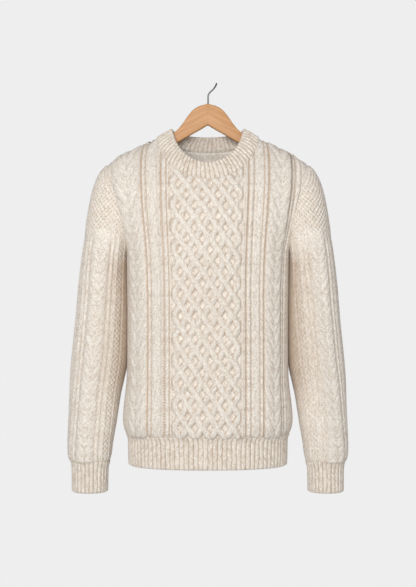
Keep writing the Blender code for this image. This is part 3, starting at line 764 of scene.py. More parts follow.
class NodeDesk:
    """A small helper that adds and joins a material's nodes."""

    MIX_SHARE, MIX_FIRST, MIX_SECOND, MIX_RESULT = 0, 6, 7, 2

    def __init__(self, name: str) -> None:
        """Starts a material with only its Principled shader and output.

        Args:
            name: the material's name.
        """
        self.material = bpy.data.materials.new(name)
        self.material.use_nodes = True
        self.tree = self.material.node_tree
        self.shader = self.tree.nodes["Principled BSDF"]

    def add(self, kind: str, **settings: object) -> bpy.types.Node:
        """A node of this kind, with settings by attribute name.

        Args:
            kind: the node's type.
            settings: its attributes by name.

        Returns:
            The node.
        """
        node = self.tree.nodes.new(kind)
        for key, value in settings.items():
            setattr(node, key, value)
        return node

    def join(self, start: Socket, end: Socket) -> None:
        """Links an output to an input."""
        self.tree.links.new(start, end)

    def math(self, operation: str, *values: object) -> Socket:
        """The output of a Math node, whose inputs are numbers or outputs.

        Args:
            operation: what it works out.
            values: its inputs, in order.

        Returns:
            Its result.
        """
        node = self.add("ShaderNodeMath", operation=operation)
        for socket, value in zip(node.inputs, values):
            if isinstance(value, (int, float)):
                socket.default_value = value
            else:
                self.join(value, socket)
        return node.outputs[0]

    def noise(self, vector: Socket, scale: float, detail: float) -> bpy.types.Node:
        """A noise texture on these coordinates.

        Args:
            vector: the coordinates.
            scale: how fine it is.
            detail: how many finer layers it has.

        Returns:
            The node.
        """
        node = self.add("ShaderNodeTexNoise")
        node.inputs["Scale"].default_value = scale
        node.inputs["Detail"].default_value = detail
        self.join(vector, node.inputs["Vector"])
        return node

    def ramp(self, value: Socket, stops: Sequence[tuple[float, Colour]]) -> Socket:
        """A colour ramp's output, from places and colours.

        Args:
            value: what chooses the colour, from 0 to 1.
            stops: places from 0 to 1, each with its colour.

        Returns:
            The colour.
        """
        node = self.add("ShaderNodeValToRGB")
        elements = node.color_ramp.elements
        while len(elements) < len(stops):
            elements.new(0.5)
        for element, (place, colour) in zip(elements, stops):
            element.position = place
            element.color = (*colour, 1.0)
        self.join(value, node.inputs["Fac"])
        return node.outputs["Color"]

    def mix(self, share: Socket, first: Socket, second: Colour) -> Socket:
        """A mix of a colour output with a colour.

        Args:
            share: how much of the second there is.
            first: a colour output.
            second: a plain colour.

        Returns:
            The mixed colour.
        """
        node = self.add("ShaderNodeMix", data_type="RGBA")
        self.join(share, node.inputs[self.MIX_SHARE])
        self.join(first, node.inputs[self.MIX_FIRST])
        node.inputs[self.MIX_SECOND].default_value = (*second, 1.0)
        return node.outputs[self.MIX_RESULT]

    def bump(
        self, height: Socket, strength: float, distance: float, below: Optional[Socket] = None
    ) -> Socket:
        """A small relief on the surface.

        Args:
            height: its height, from 0 to 1.
            strength: how strongly it shows.
            distance: how high it is, in metres.
            below: the relief that it lies on, if it isn't the smooth surface.

        Returns:
            The normal.
        """
        node = self.add("ShaderNodeBump")
        node.inputs["Strength"].default_value = strength
        node.inputs["Distance"].default_value = distance
        self.join(height, node.inputs["Height"])
        if below is not None:
            self.join(below, node.inputs["Normal"])
        return node.outputs["Normal"]

    def finish(
        self, colour: Socket, normal: Optional[Socket], values: dict[str, float]
    ) -> bpy.types.Material:
        """Joins the colour and the relief to the shader and sets its values.

        Args:
            colour: the base colour.
            normal: the relief, if there is one.
            values: the shader's other inputs by name.

        Returns:
            The material.
        """
        self.join(colour, self.shader.inputs["Base Color"])
        if normal is not None:
            self.join(normal, self.shader.inputs["Normal"])
        for name, value in values.items():
            self.shader.inputs[name].default_value = value
        return self.material


@dataclass(frozen=True)
class WoolFinish:
    """Cream wool yarn: stitches, heathered colour, and painted shade that makes hollows and the
    spaces between stitches a little darker.
    """

    name: str = "cream wool"
    light: Colour = (0.955, 0.905, 0.84)
    dark: Colour = (0.72, 0.645, 0.55)
    # The colour of the painted shade, which the random dark flecks of yarn also draw towards.
    painted_shade: Colour = (0.46, 0.34, 0.24)
    # How strong the painted shade is in the hollows, and in the spaces between the legs of each
    # stitch.
    shading: float = 0.64
    painted_gap_shade: float = 0.22
    flecks: float = 0.36
    leg_lean: float = 2.2
    stitch_bump: float = 0.0011
    fibre_bump: float = 0.0004
    bump_strength: float = 0.6
    fibre_scale: float = 1500.0
    heather_scale: float = 430.0
    sway_scale: float = 130.0
    sway_across: float = 0.35
    sway_along: float = 0.8
    yarn_round: float = 2.2
    split_depth: float = 0.7
    darkest: float = 0.9

    def material(self) -> bpy.types.Material:
        """The finish as a material, made once."""
        made = bpy.data.materials.get(self.name)
        return made if made else self._make()

    def _make(self) -> bpy.types.Material:
        """Joins the stitches, the fibres, the colours and the painted shade.

        Returns:
            The material.
        """
        desk = NodeDesk(self.name)
        coords = desk.add("ShaderNodeTexCoord").outputs["Object"]
        stitch, tone = self._stitches(desk, coords)
        fibre = desk.noise(coords, self.fibre_scale, 3.0).outputs["Fac"]
        fibres = desk.bump(fibre, self.bump_strength, self.fibre_bump)
        normal = desk.bump(stitch, self.bump_strength, self.stitch_bump, below=fibres)
        heather = desk.noise(coords, self.heather_scale, 3.0).outputs["Fac"]
        colour = desk.ramp(heather, ((0.40, self.dark), (0.54, self.light)))
        # Painted shade from a point attribute: deep in the hollows of the relief, and where another
        # piece lies close.
        low = desk.add("ShaderNodeAttribute", attribute_name="painted_shade").outputs["Fac"]
        low = desk.math("MULTIPLY", low, self.shading)
        # Painted shade in the spaces between the legs of each stitch, where the stitches are low.
        painted_gap_shade = desk.math("MULTIPLY", desk.math("SUBTRACT", 1.0, stitch), self.painted_gap_shade)
        flecks = desk.math("MULTIPLY", desk.math("POWER", tone, 3.0), self.flecks)
        # Painted shade in the hollows and between the legs, with the random dark flecks of yarn,
        # draws the colour towards one warm brown.
        shade = desk.math("ADD", low, desk.math("ADD", painted_gap_shade, flecks))
        colour = desk.mix(desk.math("MINIMUM", shade, self.darkest), colour, self.painted_shade)
        return desk.finish(colour, normal, {
            "Roughness": 0.95,
            "Specular IOR Level": 0.1,
            "Sheen Weight": 0.06,
            "Sheen Roughness": 0.5,
        })

    def _stitches(self, desk: NodeDesk, coords: Socket) -> tuple[Socket, Socket]:
        """The stitches, plain or purl by the purl attribute.

        Args:
            desk: the material being made.
            coords: its object coordinates.

        Returns:
            The stitches' height, and a tone of its own for each leg of yarn, both from 0 to 1.
        """
        parts = desk.add("ShaderNodeSeparateXYZ")
        desk.join(desk.add("ShaderNodeUVMap", uv_map="knit").outputs["UV"], parts.inputs[0])
        sway = desk.math("SUBTRACT", desk.noise(coords, self.sway_scale, 2.0).outputs["Fac"], 0.5)
        across = desk.math("ADD", parts.outputs["X"], desk.math("MULTIPLY", sway, self.sway_across))
        along = desk.math("ADD", parts.outputs["Y"], desk.math("MULTIPLY", sway, self.sway_along))
        # A plain stitch has two legs, which lean towards each other and round off between rows.
        half = desk.math("ABSOLUTE", desk.math("SUBTRACT", desk.math("FRACT", across), 0.5))
        leg = desk.math("SUBTRACT", along, desk.math("MULTIPLY", half, self.leg_lean))
        turn = desk.math("ABSOLUTE", desk.math("SUBTRACT", desk.math("FRACT", leg), 0.5))
        beyond = desk.math("POWER", desk.math("MULTIPLY", turn, 2.0), self.yarn_round)
        crest = desk.math("SUBTRACT", 1.0, beyond)
        beside = desk.math("ABSOLUTE", desk.math("SUBTRACT", half, 0.25))
        beside = desk.math("POWER", desk.math("MULTIPLY", beside, 4.0), self.yarn_round)
        split = desk.math("SUBTRACT", 1.0, desk.math("MULTIPLY", beside, self.split_depth))
        plain = desk.math("MULTIPLY", crest, split)
        # A purl stitch is a bead, staggered from row to row.
        row = desk.math("SINE", desk.math("MULTIPLY", along, 2.0 * math.pi))
        bead = desk.math("SINE", desk.math("MULTIPLY", across, 2.0 * math.pi))
        purl = desk.math("ADD", desk.math("MULTIPLY", desk.math("MULTIPLY", row, bead), 0.5), 0.5)
        kind = desk.add("ShaderNodeAttribute", attribute_name="purl").outputs["Fac"]
        blend = desk.add("ShaderNodeMix", data_type="FLOAT")
        for socket, value in zip(blend.inputs[:1] + blend.inputs[2:4], (kind, plain, purl)):
            desk.join(value, socket)
        # Each leg of yarn is a cell of its own, with a tone of its own.
        cell = desk.add("ShaderNodeCombineXYZ")
        desk.join(desk.math("FLOOR", desk.math("MULTIPLY", across, 2.0)), cell.inputs[0])
        desk.join(desk.math("FLOOR", leg), cell.inputs[1])
        tone = desk.add("ShaderNodeTexWhiteNoise", noise_dimensions="2D")
        desk.join(cell.outputs[0], tone.inputs["Vector"])
        return blend.outputs[0], tone.outputs["Value"]


@dataclass(frozen=True)
class BeechFinish:
    """Varnished beech with grain along the arms and a glued middle joint."""

    name: str = "varnished beech"
    light: Colour = (0.61, 0.325, 0.15)
    dark: Colour = (0.50, 0.255, 0.11)
    glue: Colour = (0.30, 0.14, 0.06)
    glue_share: float = 0.45
    joint_half: float = 0.0004
    grain_scale: tuple[float, float, float] = (16.0, 60.0, 260.0)
    grain_slant: float = 0.5

    def material(self) -> bpy.types.Material:
        """The finish as a new material.

        Returns:
            The material.
        """
        desk = NodeDesk(self.name)
        coords = desk.add("ShaderNodeTexCoord").outputs["Object"]
        place = desk.add("ShaderNodeMapping")
        place.inputs["Location"].default_value = (RAIL[0] * MM, RAIL[1] * MM, 0.09)
        desk.join(coords, place.inputs["Vector"])
        parts = desk.add("ShaderNodeSeparateXYZ")
        desk.join(place.outputs[0], parts.inputs[0])
        mirrored = desk.math("ABSOLUTE", parts.outputs["X"])
        slant = desk.math("MULTIPLY", mirrored, self.grain_slant)
        across = desk.math("ADD", parts.outputs["Z"], slant)
        grain_at = desk.add("ShaderNodeCombineXYZ")
        ways = (mirrored, parts.outputs["Y"], across)
        for socket, way, scale in zip(grain_at.inputs, ways, self.grain_scale):
            desk.join(desk.math("MULTIPLY", way, scale), socket)
        grain = desk.noise(grain_at.outputs[0], 1.0, 5.0)
        grain.inputs["Distortion"].default_value = 0.6
        colour = desk.ramp(grain.outputs["Fac"], ((0.36, self.dark), (0.6, self.light)))
        joint = desk.math("LESS_THAN", mirrored, self.joint_half)
        colour = desk.mix(desk.math("MULTIPLY", joint, self.glue_share), colour, self.glue)
        normal = desk.bump(grain.outputs["Fac"], 0.15, 0.0004)
        return desk.finish(colour, normal, {
            "Roughness": 0.5,
            "Specular IOR Level": 0.25,
            "Coat Weight": 0.03,
            "Coat Roughness": 0.2,
        })


@dataclass(frozen=True)
class WireFinish:
    """Dark plated steel wire with faint drawing marks."""

    name: str = "dark steel wire"
    colour: Colour = (0.22, 0.215, 0.21)

    def material(self) -> bpy.types.Material:
        """The finish as a new material.

        Returns:
            The material.
        """
        desk = NodeDesk(self.name)
        coords = desk.add("ShaderNodeTexCoord").outputs["Object"]
        marks = desk.noise(coords, 900.0, 2.0).outputs["Fac"]
        darker = tuple(0.7 * c for c in self.colour)
        colour = desk.ramp(marks, ((0.35, darker), (0.65, self.colour)))
        normal = desk.bump(marks, 0.1, 0.0001)
        return desk.finish(colour, normal, {"Metallic": 1.0, "Roughness": 0.42})


@dataclass(frozen=True)
class FloorFinish:
    """A pale, matte studio floor."""

    name: str = "pale studio floor"

    def material(self) -> bpy.types.Material:
        """The finish as a new material.

        Returns:
            The material.
        """
        desk = NodeDesk(self.name)
        coords = desk.add("ShaderNodeTexCoord").outputs["Object"]
        cloud = desk.noise(coords, 1.2, 2.0).outputs["Fac"]
        colour = desk.ramp(cloud, ((0.3, (0.84, 0.84, 0.84)), (0.7, (0.86, 0.86, 0.86))))
        return desk.finish(colour, None, {"Roughness": 0.9})


# Cloth


@dataclass
class KnitSheet:
    """A knitted wall over a grid of points: raised outside, plainer inside.

    The grid runs to the piece's own right in its columns and upwards in its
    rows. Its open edges are rounded, so that two pieces meet in a soft groove.
    """

    name: str
    columns: int
    rows: int
    coarser: int
    wall: float
    closed: bool
    edge_round: float = 2.0
    relief_fade: float = 2.4
    # How the painted shade in the hollows is worked out: how many neighbours count, the depth at
    # which it is full, the depth at which it starts, and its two caps.
    reach: int = 2
    full_depth: float = 1.9
    hollow_rest: float = 0.05
    hollow_limit: float = 1.3
    shade_limit: float = 1.4

    def grid(self) -> tuple[Array, Array]:
        """Shares across and up, for every corner of the fine grid.

        Returns:
            Both shares, by row and column.
        """
        across = np.linspace(0.0, 1.0, self.columns + 1)
        up = np.linspace(0.0, 1.0, self.rows + 1)
        return np.meshgrid(across, up)

    def outward(self, points: Array) -> Array:
        """The way out of the cloth at each corner of a grid of points.

        Args:
            points: the points, by row and column.

        Returns:
            A unit vector for each.
        """
        if self.closed:
            wrapped = np.concatenate([points[:, -2:-1], points, points[:, 1:2]], axis=1)
            across = wrapped[:, 2:] - wrapped[:, :-2]
        else:
            across = np.gradient(points, axis=1)
        along = np.gradient(points, axis=0)
        out = np.cross(across, along)
        return out / np.maximum(np.linalg.norm(out, axis=2, keepdims=True), 1e-9)

    def edge_distance(self, points: Array) -> Array:
        """How far each corner lies from the sheet's open edges, along the grid.

        Args:
            points: the points, by row and column.

        Returns:
            The distances in millimetres.
        """
        climbs = np.linalg.norm(np.diff(points, axis=0), axis=2)
        low = np.concatenate([np.zeros((1, points.shape[1])), np.cumsum(climbs, axis=0)])
        nearest = np.minimum(low, low[-1] - low)
        if not self.closed:
            runs = np.linalg.norm(np.diff(points, axis=1), axis=2)
            left = np.concatenate([np.zeros((points.shape[0], 1)), np.cumsum(runs, axis=1)], axis=1)
            nearest = np.minimum(nearest, np.minimum(left, left[:, -1:] - left))
        return nearest

    def build(
        self,
        points: Array,
        knit: Knit,
        inner_relief: Optional[Array] = None,
        shade: float | Array = 0.0,
    ) -> bpy.types.Object:
        """Makes the closed mesh.

        Args:
            points: the cloth's outer face before its relief, by row and column.
            knit: the knitting's relief and stitches there.
            inner_relief: how far the knit stands into the garment, if it does.
            shade: painted shade added to that of the hollows, where another piece lies close, from
                0 to 1.

        Returns:
            The piece's object, in the shared frame.
        """
        out, far = self.outward(points), self.edge_distance(points)
        near = 1.0 - np.clip(far / self.edge_round, 0.0, 1.0)
        swell = np.sqrt(np.clip(1.0 - near**2, 0.0, 1.0))
        fade = ease(far, 0.0, self.relief_fade)
        half = self.wall / 2.0
        outer = points + out * (half * (swell - 1.0) + knit.relief * fade)[..., None]
        # The inner face has no painted shade, unless ribs stand inside, whose hollows get it.
        inward, inner_painted_shade = half * (-swell - 1.0), np.zeros_like(fade)
        if inner_relief is not None:
            inward, inner_painted_shade = inward - inner_relief * fade, self._hollow(inner_relief)
        step = self.coarser
        inner = (points + out * inward[..., None])[::step, ::step]
        # Painted shade of the outer face: in the hollows of its relief, and where another piece
        # lies close.
        low = np.minimum(self._hollow(knit.relief) + shade, self.shade_limit)
        return self._mesh(outer, inner, knit, (low, inner_painted_shade))

    def _hollow(self, relief: Array) -> Array:
        """How deep each point lies below the cloth near it, from 0 to 1, which is its share of
        painted shade.

        Args:
            relief: how far each point stands out.

        Returns:
            The depths.
        """
        around = relief
        for axis in (0, 1):
            shifts = range(-self.reach, self.reach + 1)
            around = sum([np.roll(around, shift, axis) for shift in shifts]) / len(shifts)
        low = (around - relief) / self.full_depth - self.hollow_rest
        return np.clip(low, 0.0, self.hollow_limit)

    def _mesh(
        self, outer: Array, inner: Array, knit: Knit, hollows: tuple[Array, Array]
    ) -> bpy.types.Object:
        """Joins the two faces of the wall round its rims, with its UV map.

        Args:
            outer: the outer face's points.
            inner: the inner face's points, fewer of them.
            knit: the knitting on the outer face.
            hollows: how much painted shade each outer and each inner point has, on the fine grid.

        Returns:
            The piece's object.
        """
        step = self.coarser
        used = slice(0, -1) if self.closed else slice(None)
        fine, rough = outer[:, used], inner[:, used]
        wide, narrow = fine.shape[1], rough.shape[1]
        start = fine.shape[0] * wide
        places = np.concatenate([fine.reshape(-1, 3), rough.reshape(-1, 3)])

        pattern = knit.charts[0]
        faces: list[Array] = []
        charts: list[Array] = []

        def add(corners: Sequence[Corner]) -> None:
            """Adds faces that share a layout, as many as its rows and columns name.

            Args:
                corners: each corner's side of the wall, its rows and its columns there.
            """
            index, chart = [], []
            for where, row, column in corners:
                row, column = np.broadcast_arrays(row, column)
                if where == "out":
                    index.append(row * wide + column % wide)
                    chart.append(pattern[row, column])
                else:
                    index.append(start + row * narrow + column % narrow)
                    chart.append(pattern[row * step, column * step])
            faces.append(np.stack(index, axis=-1).reshape(-1, len(corners)))
            charts.append(np.stack(chart, axis=-2).reshape(-1, len(corners), 2))

        rows, columns = np.mgrid[0 : self.rows, 0 : self.columns]
        around = [
            (rows, columns), (rows, columns + 1), (rows + 1, columns + 1), (rows + 1, columns)
        ]
        add([("out", row, column) for row, column in around])
        highest = np.stack([knit.relief[at] for at in around]).argmax(axis=0)
        layer = np.choose(highest, [knit.layer[at] for at in around])
        layers = np.stack(knit.charts)
        laid = np.stack([layers[(layer, *at)] for at in around], axis=-2)
        charts[-1] = laid.reshape(-1, 4, 2)
        tall, broad = self.rows // step, self.columns // step
        rows, columns = np.mgrid[0:tall, 0:broad]
        add([("in", rows, columns), ("in", rows + 1, columns),
             ("in", rows + 1, columns + 1), ("in", rows, columns + 1)])
        # Each coarse edge of the rim meets its fine ones in a fan of triangles.
        across = np.arange(broad)
        for k in range(step):
            fine_at, near = across * step + k, across + (1 if k * 2 >= step else 0)
            add([("out", 0, fine_at + 1), ("out", 0, fine_at), ("in", 0, near)])
            add([("out", self.rows, fine_at), ("out", self.rows, fine_at + 1), ("in", tall, near)])
        turn = across * step + (step + 1) // 2
        add([("out", 0, turn), ("in", 0, across), ("in", 0, across + 1)])
        add([("out", self.rows, turn), ("in", tall, across + 1), ("in", tall, across)])
        if not self.closed:
            along = np.arange(tall)
            for side, last, flip in ((0, 0, False), (self.columns, broad, True)):
                for k in range(step):
                    fine_at, near = along * step + k, along + (1 if k * 2 >= step else 0)
                    face = [("out", fine_at, side), ("out", fine_at + 1, side), ("in", near, last)]
                    add(face[::-1] if flip else face)
                turn = along * step + (step + 1) // 2
                face = [("out", turn, side), ("in", along + 1, last), ("in", along, last)]
                add(face[::-1] if flip else face)
        purl = np.ones(rough.shape[:2]).ravel()
        low = hollows[1][::step, ::step][:, used].ravel()
        # Each point's kind of stitch, and how much painted shade it has.
        marks = {
            "purl": np.concatenate([knit.purl[:, used].ravel(), purl]),
            "painted_shade": np.concatenate([hollows[0][:, used].ravel(), low]),
        }
        return self._object(places, faces, charts, marks)

    def _object(
        self, places: Array, faces: list[Array], charts: list[Array], marks: dict[str, Array]
    ) -> bpy.types.Object:
        """Writes points, faces, UV map and attributes into an object.

        Args:
            places: the points in millimetres.
            faces: the point numbers of the faces, in groups with as many corners.
            charts: the corners' places in the knit, group by group.
            marks: a value for each point, by attribute name.

        Returns:
            The piece's object.
        """
        mesh = bpy.data.meshes.new(self.name)
        points = (places - RAIL) * MM
        mesh.vertices.add(len(points))
        mesh.vertices.foreach_set("co", points.astype(np.float32).ravel())
        sizes = np.concatenate([np.full(len(f), f.shape[1], np.int32) for f in faces])
        corners = np.concatenate([f.ravel() for f in faces]).astype(np.int32)
        mesh.loops.add(len(corners))
        mesh.loops.foreach_set("vertex_index", corners)
        mesh.polygons.add(len(sizes))
        starts = np.concatenate([[0], np.cumsum(sizes)[:-1]]).astype(np.int32)
        mesh.polygons.foreach_set("loop_start", starts)
        layer = mesh.uv_layers.new(name="knit")
        charted = np.concatenate([c.reshape(-1, 2) for c in charts])
        layer.data.foreach_set("uv", charted.astype(np.float32).ravel())
        for name, values in marks.items():
            attribute = mesh.attributes.new(name, "FLOAT", "POINT")
            attribute.data.foreach_set("value", values.astype(np.float32))
        mesh.update(calc_edges=True)
        mesh.validate()
        mesh.shade_smooth()
        made = bpy.data.objects.new(self.name, mesh)
        bpy.context.scene.collection.objects.link(made)
        return made


def dress(
    piece: bpy.types.Object, node: str, material: bpy.types.Material
) -> bpy.types.Object:
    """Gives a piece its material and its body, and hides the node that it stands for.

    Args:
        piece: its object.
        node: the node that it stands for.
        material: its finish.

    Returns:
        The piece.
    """
    piece.data.materials.clear()
    piece.data.materials.append(material)
    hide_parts(node)
    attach(piece, "root")
    return piece


@dataclass
class BodyPanel:
    """The front or back: hem seam to shoulders, with lattice, ribs and cables."""

    face: Face
    wool: WoolFinish
    columns: int = 212
    rows: int = 424
    coarser: int = 4
    upright: float = 180.0
    outermost: float = 208.0
    spread: float = 0.10
    spread_from: float = -443.0
    spread_to: float = -156.0
    soften_rows: int = 5
    lattice: Lattice = field(default_factory=Lattice)
    ribs: tuple[Rib, ...] = (
        Rib(-118.4, 2.7, 2.6),
        Rib(-90.4, 2.0, 2.2),
        Rib(-81.3, 3.9, 3.0, twist=8.0),
        Rib(-73.2, 2.2, 1.8),
        Rib(67.4, 2.4, 1.6),
        Rib(72.6, 1.9, 2.2),
        Rib(80.8, 4.1, 3.0, twist=8.0),
        Rib(108.4, 2.9, 2.6),
        Rib(160.0, 2.8, 2.2),
        Rib(170.5, 4.2, 1.8),
    )
    plains: tuple[Plain, ...] = (
        Plain(-112.6, -93.8),
        Plain(86.8, 103.6),
        Plain(-230.0, -192.5, 0.8),
        Plain(177.0, 230.0, 0.8),
    )
    grooves: tuple[Groove, ...] = (
        Groove(-122.6),
        Groove(-114.4),
        Groove(-86.4, 2.4, 3.4, hole_rows=4),
        Groove(-76.4),
        Groove(75.8, 2.4, 3.4, hole_rows=4),
        Groove(85.8),
        Groove(104.6),
        Groove(112.4),
        Groove(156.2, 1.5, 0.7),
        Groove(164.6, 1.5, 0.6),
        Groove(175.4, 1.5, 0.4),
    )
    cables: tuple[Cable, ...] = (
        Cable(-149.3, 24.8, 6.0, 31.0, 2.2, widen=0.35),
        Cable(134.5, 20.8, 5.6, 31.0, 2.3, widen=0.3),
    )

    def build(self) -> bpy.types.Object:
        """Makes the panel.

        Returns:
            The panel's object.
        """
        form = BodyForm(self.face)
        node = "front" if self.face is Face.FRONT else "back"
        sheet = KnitSheet(
            f"knit_{node}", self.columns, self.rows, self.coarser, Measures.WALL, closed=False
        )
        across, up = sheet.grid()
        even = (2.0 * across[0] - 1.0) * self.outermost
        lines = snapped(even, [mark.place for mark in self.ribs + self.grooves])
        low = Measures.HEM_SEAM_Z
        z = low + (self._top(form, lines) - low) * up
        u = self._reach(form, lines, z)
        share = np.sign(lines) * np.minimum(u / form.half_width(z), 1.0)
        points = softened(form.place(share, z), self.soften_rows)
        points[..., 1] -= form.facing * Measures.SEAM_TUCK * share**8
        climb = ease(z, self.spread_from, self.spread_to)
        w, v = np.sign(lines) * u / (1.0 + self.spread * climb), z - low
        points = points + sheet.outward(points) * self._drape(w, v)[..., None]
        piece = sheet.build(points, self._knit(w, v, climb))
        cut = 2.0 * float(form.half_width(z).mean() * (z[-1] - z[0]).mean()) * MM * MM
        return dress(piece, node, self.wool.material())

    def _reach(self, form: BodyForm, lines: Array, z: Array) -> Array:
        """How far round the cloth each line lies: upright, then squeezed to the edge.

        Args:
            form: the panel's form.
            lines: the lines' places across the knit.
            z: heights, of a shape that spreads over the lines.

        Returns:
            The width of cloth from the middle to the line.
        """
        spread = 1.0 + self.spread * ease(z, self.spread_from, self.spread_to)
        inner = self.upright * spread
        edge = form.half_width(np.minimum(z, Measures.SHOULDER_TIP_Z))
        beyond = (np.abs(lines) - self.upright) / (self.outermost - self.upright)
        return np.where(beyond < 0.0, np.abs(lines) * spread, inner + beyond * (edge - inner))

    def _top(self, form: BodyForm, lines: Array) -> Array:
        """The height at which each line ends: at the neck seam, or at the shoulder seam.

        Args:
            form: the panel's form.
            lines: the lines' places across the knit.

        Returns:
            A height for each line.
        """
        first = math.pi if self.face is Face.FRONT else 2.0 * math.pi
        x, z = Measures.NECK_SEAM.at(np.linspace(first, first - math.pi / 2.0, 181))
        reach = np.array([form.share_at(a, b) for a, b in zip(x, z)]) * form.half_width(z)
        neck = reach / (1.0 + self.spread * ease(z, self.spread_from, self.spread_to))
        order = np.argsort(neck)
        tops = np.interp(np.abs(lines), neck[order], z[order])
        heights = np.linspace(Measures.SHOULDER_TIP_Z, Measures.NECK_SIDE_Z, 121)
        over = self._reach(form, lines[:, None], heights[None]) - form.half_width(heights)
        ends = np.array([float(np.interp(0.0, row, heights)) for row in over])
        return np.where(np.abs(lines) >= neck.max(), ends, tops)

    def _knit(self, w: Array, v: Array, climb: Array) -> Knit:
        """The panel's columns, laid side by side on a purl ground.

        Args:
            w: place across the cloth of each point.
            v: place up the cloth.
            climb: how far the panel has widened there, from 0 to 1.

        Returns:
            The knitting.
        """
        knit = Knit(w, v, purl=1.0)
        ground = (w > self.lattice.left) & (w < self.lattice.right)
        knit.moss(self.lattice.ground_moss, ground)
        self.lattice.lay(knit)
        for column in self.plains + self.ribs:
            column.lay(knit)
        for cable in self.cables:
            cable.lay(knit, climb)
        for groove in self.grooves:
            groove.cut(knit)
        return knit

    def _drape(self, w: Array, v: Array) -> Array:
        """The slight unevenness with which the cloth hangs, by place across and up."""
        sway = 1.1 * np.sin(w / 61.0 + 0.8) * np.sin(v / 97.0 + 0.4)
        return sway + 0.6 * np.sin(w / 33.0 - v / 120.0)


@dataclass
class Sleeve:
    """A sleeve: a cable between ribs, and moss stitch round the rest."""

    side: Side
    wool: WoolFinish
    columns: int = 200
    rows: int = 320
    coarser: int = 4
    # A hair off the middle, so that the middle line of stitches belongs to one arm of leaves.
    cable: Cable = Cable(0.001, 19.0, 4.6, 19.5, 1.6, lag=0.1)
    ribs: tuple[Rib, ...] = (
        Rib(-37.5, 2.6, 2.2),
        Rib(-25.4, 2.8, 2.2),
        Rib(25.4, 2.8, 2.2),
        Rib(37.5, 2.6, 2.2),
        Rib(58.0, 2.8, 2.0),
        Rib(-58.0, 2.8, 2.0),
    )
    grooves: tuple[Groove, ...] = (
        Groove(-30.6, 1.9, 2.2, hole_rows=3),
        Groove(-21.0),
        Groove(21.0),
        Groove(30.6, 1.9, 2.2, hole_rows=3),
        Groove(53.2, 1.9, 2.0, hole_rows=3),
        Groove(-53.2, 1.9, 2.0, hole_rows=3),
    )
    moss_from: float = 31.0
    moss_height: float = 2.4
    cap_moss_height: float = 1.3 * 2.4
    cap_from: float = 432.0
    cap_to: float = 482.0
    lean: float = 2.6
    lean_heights: tuple[float, float, float, float] = (130.0, 190.0, 395.0, 425.0)
    # Painted shade on the inner side where the sleeve lies against the body: how strong it is, and
    # the heights over which it comes and goes.
    shade: float = 1.1
    shade_heights: tuple[float, float, float, float] = (90.0, 210.0, 395.0, 430.0)
    upright: float = 66.0
    half_round: float = 135.0
    turn_top: float = 0.240
    turn_cuff: float = 0.19

    def build(self) -> bpy.types.Object:
        """Makes the sleeve.

        Returns:
            The sleeve's object.
        """
        form = SleeveForm(self.side)
        node = f"sleeve_{self.side.name.lower()}"
        sheet = KnitSheet(
            f"knit_{node}", self.columns, self.rows, self.coarser, Measures.WALL, closed=True
        )
        across, up = sheet.grid()
        even = (2.0 * across[0] - 1.0) * self.half_round
        lines = snapped(even, [mark.place for mark in self.ribs + self.grooves])
        points, share, w = self._hang(form, lines, up)
        v = points[..., 2] - Measures.CUFF_SEAM_Z
        points = points + sheet.outward(points) * self._drape(share, v)[..., None]
        points[..., 0] -= form.side * self._lean(share, v)
        # The inner side, against the body, gets painted shade.
        piece = sheet.build(points, self._knit(w, v), shade=self._shade(share, v))
        return dress(piece, node, self.wool.material())

    def _hang(self, form: SleeveForm, lines: Array, up: Array) -> tuple[Array, Array, Array]:
        """Hangs the lines of stitches: upright near the cable, the rest spread round the arm.

        Args:
            form: the sleeve's form.
            lines: the lines' places across the knit.
            up: share along the sleeve of each point.

        Returns:
            The form's points, their share round the sleeve, and their place across the knit.
        """
        top = Measures.ARM[-1].z - Measures.CUFF_SEAM_Z
        beyond = (np.abs(lines) - self.upright) / (self.half_round - self.upright)
        v = up * form.lengths.mean()
        for _ in range(4):
            low = np.minimum(v, top)
            girth, turn = form.girth(low), self._turn(form, low)
            spread = self.upright + beyond * (girth / 2.0 - self.upright)
            w = np.sign(lines) * np.where(beyond < 0.0, np.abs(lines), spread)
            share = w / girth - turn
            points = form.place(share, up)
            v = points[..., 2] - Measures.CUFF_SEAM_Z
        share = (share + 0.5) % 1.0 - 0.5
        rises = np.linspace(0.0, 1.0, 161)
        crown = form.place(np.zeros_like(rises), rises)
        halves = np.linspace(0.0, 0.5, 81)
        ring = form.level_ring(Measures.ARM[-1].z, halves)[:, 0]
        inset = np.interp(points[..., 2], crown[:, 2], np.abs(crown[:, 0])) - np.abs(points[..., 0])
        straight = np.sign(share) * np.interp(inset, ring[0] - ring, halves) + turn - w / girth
        shift = (straight - np.round(straight)) * girth
        return points, share, np.where(v > top, w + shift, w)

    def _turn(self, form: SleeveForm, v: Array) -> Array:
        """How far round the arm the cable lies, as a share of the way from its outer side."""
        low = 1.0 - v / form.lengths.max()
        return form.side * (self.turn_top + (self.turn_cuff - self.turn_top) * low)

    def _knit(self, w: Array, v: Array) -> Knit:
        """The sleeve's columns, laid side by side on a purl ground.

        Args:
            w: place round the sleeve of each point.
            v: place above the cuff seam.

        Returns:
            The knitting.
        """
        knit = Knit(w, v, purl=1.0)
        knit.moss(self.moss_height, np.abs(w) > self.moss_from)
        for rib in self.ribs:
            rib.lay(knit)
        self.cable.lay(knit, np.zeros_like(w))
        for groove in self.grooves:
            groove.cut(knit)
        cap = ease(v, self.cap_from, self.cap_to)
        knit.fade(cap)
        knit.moss(self.cap_moss_height * cap, np.ones(w.shape, bool))
        return knit

    def _lean(self, share: Array, v: Array) -> Array:
        """How far the upper sleeve's inner side leans in, until it touches the body."""
        inward = (0.5 - 0.5 * np.cos(2.0 * math.pi * share)) ** 3
        return self.lean * plateau(v, self.lean_heights) * inward

